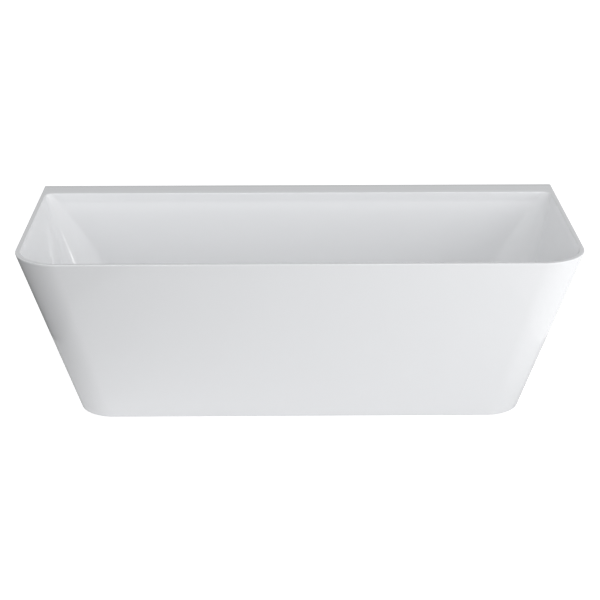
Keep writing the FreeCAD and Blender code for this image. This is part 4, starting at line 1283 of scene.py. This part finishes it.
def cross_recess(r, z):
    """Twelve points of a cross, starting on the same side as a twelve-sided circle."""
    arm, half = r * 0.62, r * 0.2
    quarter = [(arm, -half), (arm, half), (half, half)]
    points = []
    for turn in range(4):
        for px, py in quarter:
            c, s = (1, 0, -1, 0)[turn], (0, 1, 0, -1)[turn]
            points.append((px * c - py * s, px * s + py * c, z))
    return np.array(points)

def screw_template(length):
    """A pan-head screw along +Z, its head's underside on z = 0 and the head below."""
    angles = np.arange(SCREW_SIDES) * 2 * math.pi / SCREW_SIDES - math.pi / SCREW_SIDES

    def circle_row(r, z):
        return np.stack([r * np.cos(angles), r * np.sin(angles), np.full(SCREW_SIDES, z)], 1)
    recess = -HEAD_TALL * 0.35
    rows = [np.tile([0, 0, recess], (SCREW_SIDES, 1)), cross_recess(HEAD_R * 0.85, recess),
            cross_recess(HEAD_R, -HEAD_TALL), circle_row(HEAD_R * 0.78, -HEAD_TALL),
            circle_row(HEAD_R * 0.96, -HEAD_TALL * 0.65), circle_row(HEAD_R, -HEAD_TALL * 0.25),
            circle_row(HEAD_R, 0), circle_row(HEAD_R / 2, 0)]
    z = 0.6 * MM
    while z < length - 3 * MM:
        rows += [circle_row(SCREW_CORE, z), circle_row(SCREW_RIDGE, z + SCREW_PITCH * 0.4)]
        z += SCREW_PITCH
    rows += [circle_row(SCREW_CORE, length - 2.5 * MM), circle_row(0, length)]
    skin = Skin()
    skin.patch(rows, closed=True)
    return blank_mesh(skin, "screw")

def screw_place(low, high):
    """Where a screw's head sits and the turn from +Z to the way that it points."""
    size, middle = high - low, (low + high) / 2
    axis = max(range(3), key=lambda i: size[i])
    length = size[axis] - HEAD_TALL
    if axis == 2:
        return (middle.x, middle.y, low.z + HEAD_TALL), (0, 0, 0), length
    way = 1 if middle[axis] > 0 else -1
    point = middle.copy()
    point[axis] = (low[axis] + HEAD_TALL) if way > 0 else (high[axis] - HEAD_TALL)
    turn = (0, way * math.pi / 2, 0) if axis == 0 else (-way * math.pi / 2, 0, 0)
    return tuple(point), turn, length

print("rows in a 30 mm screw", len(screw_template(30 * MM).vertices) // SCREW_SIDES)

# %% [markdown]
# The long side of a screw's box is its axis.  Upright ones point up, and the others away from the middle.

# %% Screws
def build_screws(node, name, seed):
    by_length = {}
    for low, high in solids_of(node):
        point, turn, length = screw_place(low, high)
        by_length.setdefault(round(length, 4), []).append((point, turn))
    meshes = [repeated(screw_template(length), places, seed + i, "zinc_plate", spin=math.pi)
              for i, (length, places) in enumerate(sorted(by_length.items()))]
    fit(joined(meshes, name), [node], "bath", "zinc_plate")
    print(name, {length: len(places) for length, places in by_length.items()})

build_screws("board_screws", "board_screw_set", 11)
build_screws("bracket_screws", "bracket_screw_set", 21)
build_screws("wall_clip_screws", "clip_screw_set", 31)

# %% [markdown]
# Nuts are set down over the studs and bolts.  Their bores are a hair wider than the threads, so that the two
# surfaces never cross.

# %% Nuts and bolts
def build_nuts(node, name, seed, bore):
    boxes = solids_of(node)
    low, high = boxes[0]
    skin = Skin()
    skin.patch(hex_rows(min(high.x - low.x, high.y - low.y), 0, high.z - low.z, 0, 0, bore), closed=True)
    nuts = repeated(blank_mesh(skin, "nut"), top_down(boxes), seed, "zinc_plate")
    fit(joined([nuts], name), [node], "bath", "zinc_plate")


build_nuts("levelling_nuts", "welded_nuts", 41, 6.05 * MM)
build_nuts("lock_nuts", "locking_nuts", 51, 6.05 * MM)
build_nuts("frame_nuts", "rail_nuts", 61, 3.05 * MM)

BOLT_HEAD, BOLT_R, BOLT_PITCH = 4 * MM, 3 * MM, 1 * MM
bolt_boxes = solids_of("frame_bolts")
low, high = bolt_boxes[0]
bolt = Skin()
bolt.patch(hex_rows(min(high.x - low.x, high.y - low.y), 0, BOLT_HEAD, 0, 0), closed=True)
bolt.patch(thread_rows(BOLT_R, BOLT_PITCH, BOLT_HEAD - 0.2 * MM, high.z - low.z, 0, 0, 12))
bolts = repeated(blank_mesh(bolt, "bolt"), top_down(bolt_boxes), 71, "zinc_plate")
fit(joined([bolts], "rail_bolts"), ["frame_bolts"], "bath", "zinc_plate")
print("bolts", len(bolt_boxes))

# %% [markdown]
# ## Waste and press plug
# The waste is a turned flange with a threaded tail.  A four-armed spider inside it holds the plug's guide.
# The plug is a shallow chrome dome on a rubber seal; pressing it drops it onto the countersink.

# %% Waste
BORE_R, TAIL_R, FLANGE_R, MOUTH_R = 20 * MM, 23.9 * MM, 35 * MM, 28 * MM
HUB_IN, HUB_OUT = 8.05 * MM, 11 * MM


def build_waste():
    low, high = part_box("waste_body")
    flange_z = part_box("waste_top_seal")[1].z
    profile = [(BORE_R, low.z), (TAIL_R, low.z), (TAIL_R, flange_z), (FLANGE_R - 0.8 * MM, flange_z),
               (FLANGE_R, flange_z + 0.8 * MM), (FLANGE_R - 1.5 * MM, high.z), (MOUTH_R, high.z),
               (BORE_R, high.z - 6 * MM), (BORE_R, low.z)]
    flange = Skin()
    flange.patch(turned_rows(softened(profile, 0.5 * MM), 0.0, waste_y, 96), closed=True)
    under, over = low.z + 2 * MM, low.z + 6 * MM
    hub = Skin()
    hub.patch(turned_rows([(HUB_IN, under), (HUB_OUT, under), (HUB_OUT, over), (HUB_IN, over),
                           (HUB_IN, under)], 0.0, waste_y, 48), closed=True)
    spoke = rib_mesh("spoke", HUB_OUT - 0.5 * MM, BORE_R + 0.8 * MM, under, over, over, 3 * MM)
    places = [((0.0, waste_y, 0), (0, 0, math.pi / 2 * i)) for i in range(4)]
    spokes = repeated(spoke, places, 81, "chrome")
    fit(joined([blank_mesh(flange, "waste_blank"), blank_mesh(hub, "hub"), spokes], "waste_flange"),
        ["waste_body"], "bath", "chrome")


def turned_piece(profile, soft, steps, name, node, body, slot):
    """A profile turned about the waste's axis, with its corners softened."""
    skin = Skin()
    profile = softened(profile, soft) if soft else profile
    skin.patch(turned_rows(profile, 0.0, waste_y, steps), closed=True)
    install(skin, name, [node], body, slot)


build_waste()
low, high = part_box("waste_top_seal")
seal_in, seal_out = 24.1 * MM, 34 * MM
turned_piece([(seal_in, low.z), (seal_out, low.z), (seal_out, high.z), (seal_in, high.z), (seal_in, low.z)],
             0.3 * MM, 96, "waste_face_seal", "waste_top_seal", "bath", "seal_rubber")

# %% [markdown]
# The plug's dome is half an ellipse over a rolled edge.  Its seal is wider than its seat and bevelled, and
# its stem slides in the hub's guide.

# %% Plug
PLUG_R = 33 * MM
STEM_R = 4 * MM
low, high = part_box("plug_cap")
dome = (high.z - low.z) / 2
cap = [(0, low.z + 1 * MM), (3.9 * MM, low.z + 1 * MM), (STEM_R, low.z), (PLUG_R - 2 * MM, low.z),
       (PLUG_R - 0.5 * MM, low.z + 0.6 * MM), (PLUG_R, low.z + 1.8 * MM), (PLUG_R - 0.6 * MM, low.z + dome)]
for i in range(1, 13):
    a = math.pi / 2 * i / 12
    cap.append(((PLUG_R - 0.6 * MM) * math.cos(a), low.z + dome + dome * math.sin(a)))
turned_piece(cap, 0, 96, "plug_dome", "plug_cap", "plug", "chrome")

low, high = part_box("plug_seal")
seal_r = (high.x - low.x) / 2
seal = [(STEM_R, low.z), (seal_r - 1.6 * MM, low.z), (seal_r, low.z + 1.2 * MM), (seal_r, high.z),
        (STEM_R, high.z), (STEM_R, low.z)]
turned_piece(seal, 0.3 * MM, 96, "plug_washer", "plug_seal", "plug", "seal_rubber")

low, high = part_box("plug_stem")
stem = [(0, low.z), (3 * MM, low.z), (STEM_R, low.z + 1 * MM), (STEM_R, high.z), (0, high.z)]
turned_piece(stem, 0.3 * MM, 40, "plug_rod", "plug_stem", "plug", "brass")

# %% [markdown]
# ## Return spring
# A wire helix could be a curve with a round bevel.  Drawn as rows it needs no conversion, and its ends can be
# closed.  In the bath it squashes along its length as the plug goes down; here it is drawn at one length.

# %% Spring
WIRE_R, COILS, WIRE_SIDES, WIRE_STEPS = 0.5 * MM, 6.5, 8, 130


def build_spring():
    low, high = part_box("plug_spring")
    coil = (high.x - low.x) / 2 - WIRE_R
    rise = high.z - low.z - 2 * WIRE_R
    rows = []
    for i in range(WIRE_STEPS + 1):
        t = i / WIRE_STEPS
        a = 2 * math.pi * COILS * t
        middle = Vector((coil * math.cos(a), waste_y + coil * math.sin(a), low.z + WIRE_R + rise * t))
        out = Vector((math.cos(a), math.sin(a), 0))
        ahead = Vector((-coil * math.sin(a), coil * math.cos(a), rise / (2 * math.pi * COILS))).normalized()
        side = ahead.cross(out)
        ways = [2 * math.pi * j / WIRE_SIDES for j in range(WIRE_SIDES)]
        rows.append([tuple(middle + (out * math.cos(w) + side * math.sin(w)) * WIRE_R) for w in ways])
        if i in (0, WIRE_STEPS):
            end = [tuple(middle)] * WIRE_SIDES
            rows.insert(0, end) if i == 0 else rows.append(end)
    skin = Skin()
    skin.patch(rows, closed=True)
    spring = install(skin, "plug_return_spring", ["plug_spring"], "bath", "spring_steel")
    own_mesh(spring)


build_spring()

# %% [markdown]
# ## Dress the pieces
# Each piece now takes the finish that its slot names.  The end battens run across the bath, so their grain
# does too.

# %% Finishes on
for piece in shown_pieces():
    finish = FINISHES[piece["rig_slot"]]
    if piece.name in ("left_foot_batten", "right_foot_batten"):
        finish = CROSS_GRAIN
    piece.data.materials.clear()
    piece.data.materials.append(finish)
    for polygon in piece.data.polygons:
        polygon.material_index = 0

# %% [markdown]
# ## Floor, sky and key light
# The floor is a pale sweep that reads as white.  Most light comes from the front and the right, as from a
# wide window, and the ceiling is dimmer.  That makes the deck and the far end a shade darker than the walls
# that face the light, which is what shows the basin's depth.
# A plain floor would do for the eye.  What a gloss surface shows, though, is everything round it, so the
# floor is given a painted pool of light, with painted shade beyond it to the left and painted light to the
# right, which only reflections see; on the gloss they make a painted reflection.

# %% Floor's shape
half = 30.0
floor_sheet = bpy.data.meshes.new("studio_floor")
floor_sheet.from_pydata([(-half, -half, 0), (half, -half, 0), (half, half, 0), (-half, half, 0)], [],
                        [(0, 1, 2, 3)])
studio_floor = new_piece("studio_floor", floor_sheet)
print("floor %.0f m across" % (2 * half))

# %% [markdown]
# The paint asks whether a ray comes from the camera.  If not, the ground beyond the lit round turns to painted
# shade on the left and painted light on the right.

# %% Floor's paint
# The glow added on the right and the dark tone on the left are painted light and painted shade, seen only in
# reflections.
FLOOR_GLOW, FLOOR_SEEN, PAINTED_LIGHT_RIGHT = 0.20, 0.8, 0.38
LIT_ROUND = (0.985, 1.015)
PALE_GROUND, PAINTED_SHADE_GROUND = (0.5, 0.5, 0.505, 1), (0.11, 0.11, 0.11, 1)


def floor_material():
    """White to look at.  In reflections it is a painted pool of light a metre in radius, with painted shade
    beyond it to the left and painted light beyond it to the right.
    """
    material, nodes, links, shader = new_material("studio_floor_painted_light")
    shader.inputs["Roughness"].default_value = 0.9
    shader.inputs["Emission Color"].default_value = (1, 1, 1, 1)
    place = nodes.new("ShaderNodeTexCoord")
    split = nodes.new("ShaderNodeSeparateXYZ")
    links.new(place.outputs["Object"], split.inputs[0])
    reach = nodes.new("ShaderNodeVectorMath")
    reach.operation = "LENGTH"
    links.new(place.outputs["Object"], reach.inputs[0])
    seen = nodes.new("ShaderNodeLightPath").outputs["Is Camera Ray"]
    across = split.outputs["X"]
    beyond = combine(nodes, links, "MULTIPLY", ramp(nodes, links, seen, 0.0, 1.0, 1.0, 0.0),
                     ramp(nodes, links, reach.outputs["Value"], *LIT_ROUND, 0.0, 1.0))
    # Painted shade to the left and painted light to the right, beyond the lit round, for rays that are not the
    # camera's.
    left = combine(nodes, links, "MULTIPLY", beyond, ramp(nodes, links, across, -0.5, -0.35, 1.0, 0.0))
    right = combine(nodes, links, "MULTIPLY", beyond, ramp(nodes, links, across, 0.5, 0.9, 0.0, 1.0))
    shade = nodes.new("ShaderNodeMix")
    shade.data_type = "RGBA"
    shade.inputs[6].default_value, shade.inputs[7].default_value = PALE_GROUND, PAINTED_SHADE_GROUND
    links.new(left, shade.inputs["Factor"])
    links.new(shade.outputs[2], shader.inputs["Base Color"])
    glow = ramp(nodes, links, seen, 0.0, 1.0, FLOOR_GLOW, FLOOR_SEEN)
    # Under the painted shade the floor's glow is taken away; under the painted light it is raised.
    dimmed = combine(nodes, links, "MULTIPLY", glow, ramp(nodes, links, left, 0.0, 1.0, 1.0, 0.0))
    strength = combine(nodes, links, "ADD", dimmed, ramp(nodes, links, right, 0.0, 1.0, 0.0, PAINTED_LIGHT_RIGHT))
    links.new(strength, shader.inputs["Emission Strength"])
    return material


studio_floor.data.materials.append(floor_material())
print("floor's paint nodes", len(studio_floor.data.materials[0].node_tree.nodes))

# %% [markdown]
# The sky is a soft tent, brightest in front, dimmer behind and above.

# %% Sky
SKY_LEFT, SKY_RIGHT = 0.72, 0.93
SKY_FRONT, SKY_BACK = 1.66, 0.48
SKY_TOP = 0.50

def studio_sky():
    world = bpy.data.worlds.new("studio_sky")
    bpy.context.scene.world = world
    world.use_nodes = True
    nodes, links = world.node_tree.nodes, world.node_tree.links
    way = nodes.new("ShaderNodeTexCoord")
    split = nodes.new("ShaderNodeSeparateXYZ")
    links.new(way.outputs["Generated"], split.inputs[0])

    side = ramp(nodes, links, split.outputs["X"], -0.9, 0.9, SKY_LEFT, SKY_RIGHT)
    front = ramp(nodes, links, split.outputs["Y"], -0.9, 0.9, SKY_FRONT, SKY_BACK)
    height = ramp(nodes, links, split.outputs["Z"], 0.35, 1.0, 1.0, SKY_TOP)
    total = combine(nodes, links, "MULTIPLY", combine(nodes, links, "MULTIPLY", side, front), height)
    links.new(total, nodes["Background"].inputs["Strength"])
    nodes["Background"].inputs["Color"].default_value = (0.985, 0.992, 1.0, 1)


studio_sky()

print("sky", bpy.context.scene.world.name)

# %% [markdown]
# A window-sized light from the right shapes the ends.  A long, narrow lamp leaves the bright line in the
# basin's rear left corner.

# %% Lights
def softbox(name, place, aim, width, height, power):
    lamp = bpy.data.lights.new(name, "AREA")
    lamp.shape = "RECTANGLE"
    lamp.size, lamp.size_y, lamp.energy = width, height, power
    holder = bpy.data.objects.new(name, lamp)
    holder.location = place
    holder.rotation_mode = "QUATERNION"
    holder.rotation_quaternion = (Vector(aim) - Vector(place)).to_track_quat("-Z", "Y")
    bpy.context.scene.collection.objects.link(holder)


softbox("window_right", (3.4, -2.4, 1.3), (0.2, 0.0, 0.35), width=2.2, height=1.8, power=16.0)
softbox("small_lamp", (3.85, 0.55, 2.4), (-0.7, 0.2, 0.45), width=1.3, height=0.14, power=6.0)
print("lights", len(bpy.data.lights))

# %% [markdown]
# ## Camera
# A long lens a few metres away, just above the rim and square to the front, keeps the bath's lines straight.

# %% Camera
LENS, SENSOR = 99.4, 36
AIM = Vector((0.0021, 0.0, 0.2992))
CAMERA_TURN = math.radians(-0.604)
CAMERA_RISE = math.radians(20.62)
CAMERA_ROLL = math.radians(-0.033)
CAMERA_AWAY = 5.2607
camera_data = bpy.data.cameras.new("camera")
camera_data.lens, camera_data.sensor_width = LENS, SENSOR
camera = new_piece("camera", camera_data)
bpy.context.scene.camera = camera
back = Vector((math.sin(CAMERA_TURN) * math.cos(CAMERA_RISE), -math.cos(CAMERA_TURN) * math.cos(CAMERA_RISE),
               math.sin(CAMERA_RISE)))
level = (-back).to_track_quat("-Z", "Y")
camera.location = AIM + back * CAMERA_AWAY
camera.rotation_mode = "QUATERNION"
camera.rotation_quaternion = level @ Matrix.Rotation(CAMERA_ROLL, 3, "Z").to_quaternion()
bpy.context.scene.view_settings.view_transform = "Standard"
print("camera at", [round(value, 3) for value in camera.location])
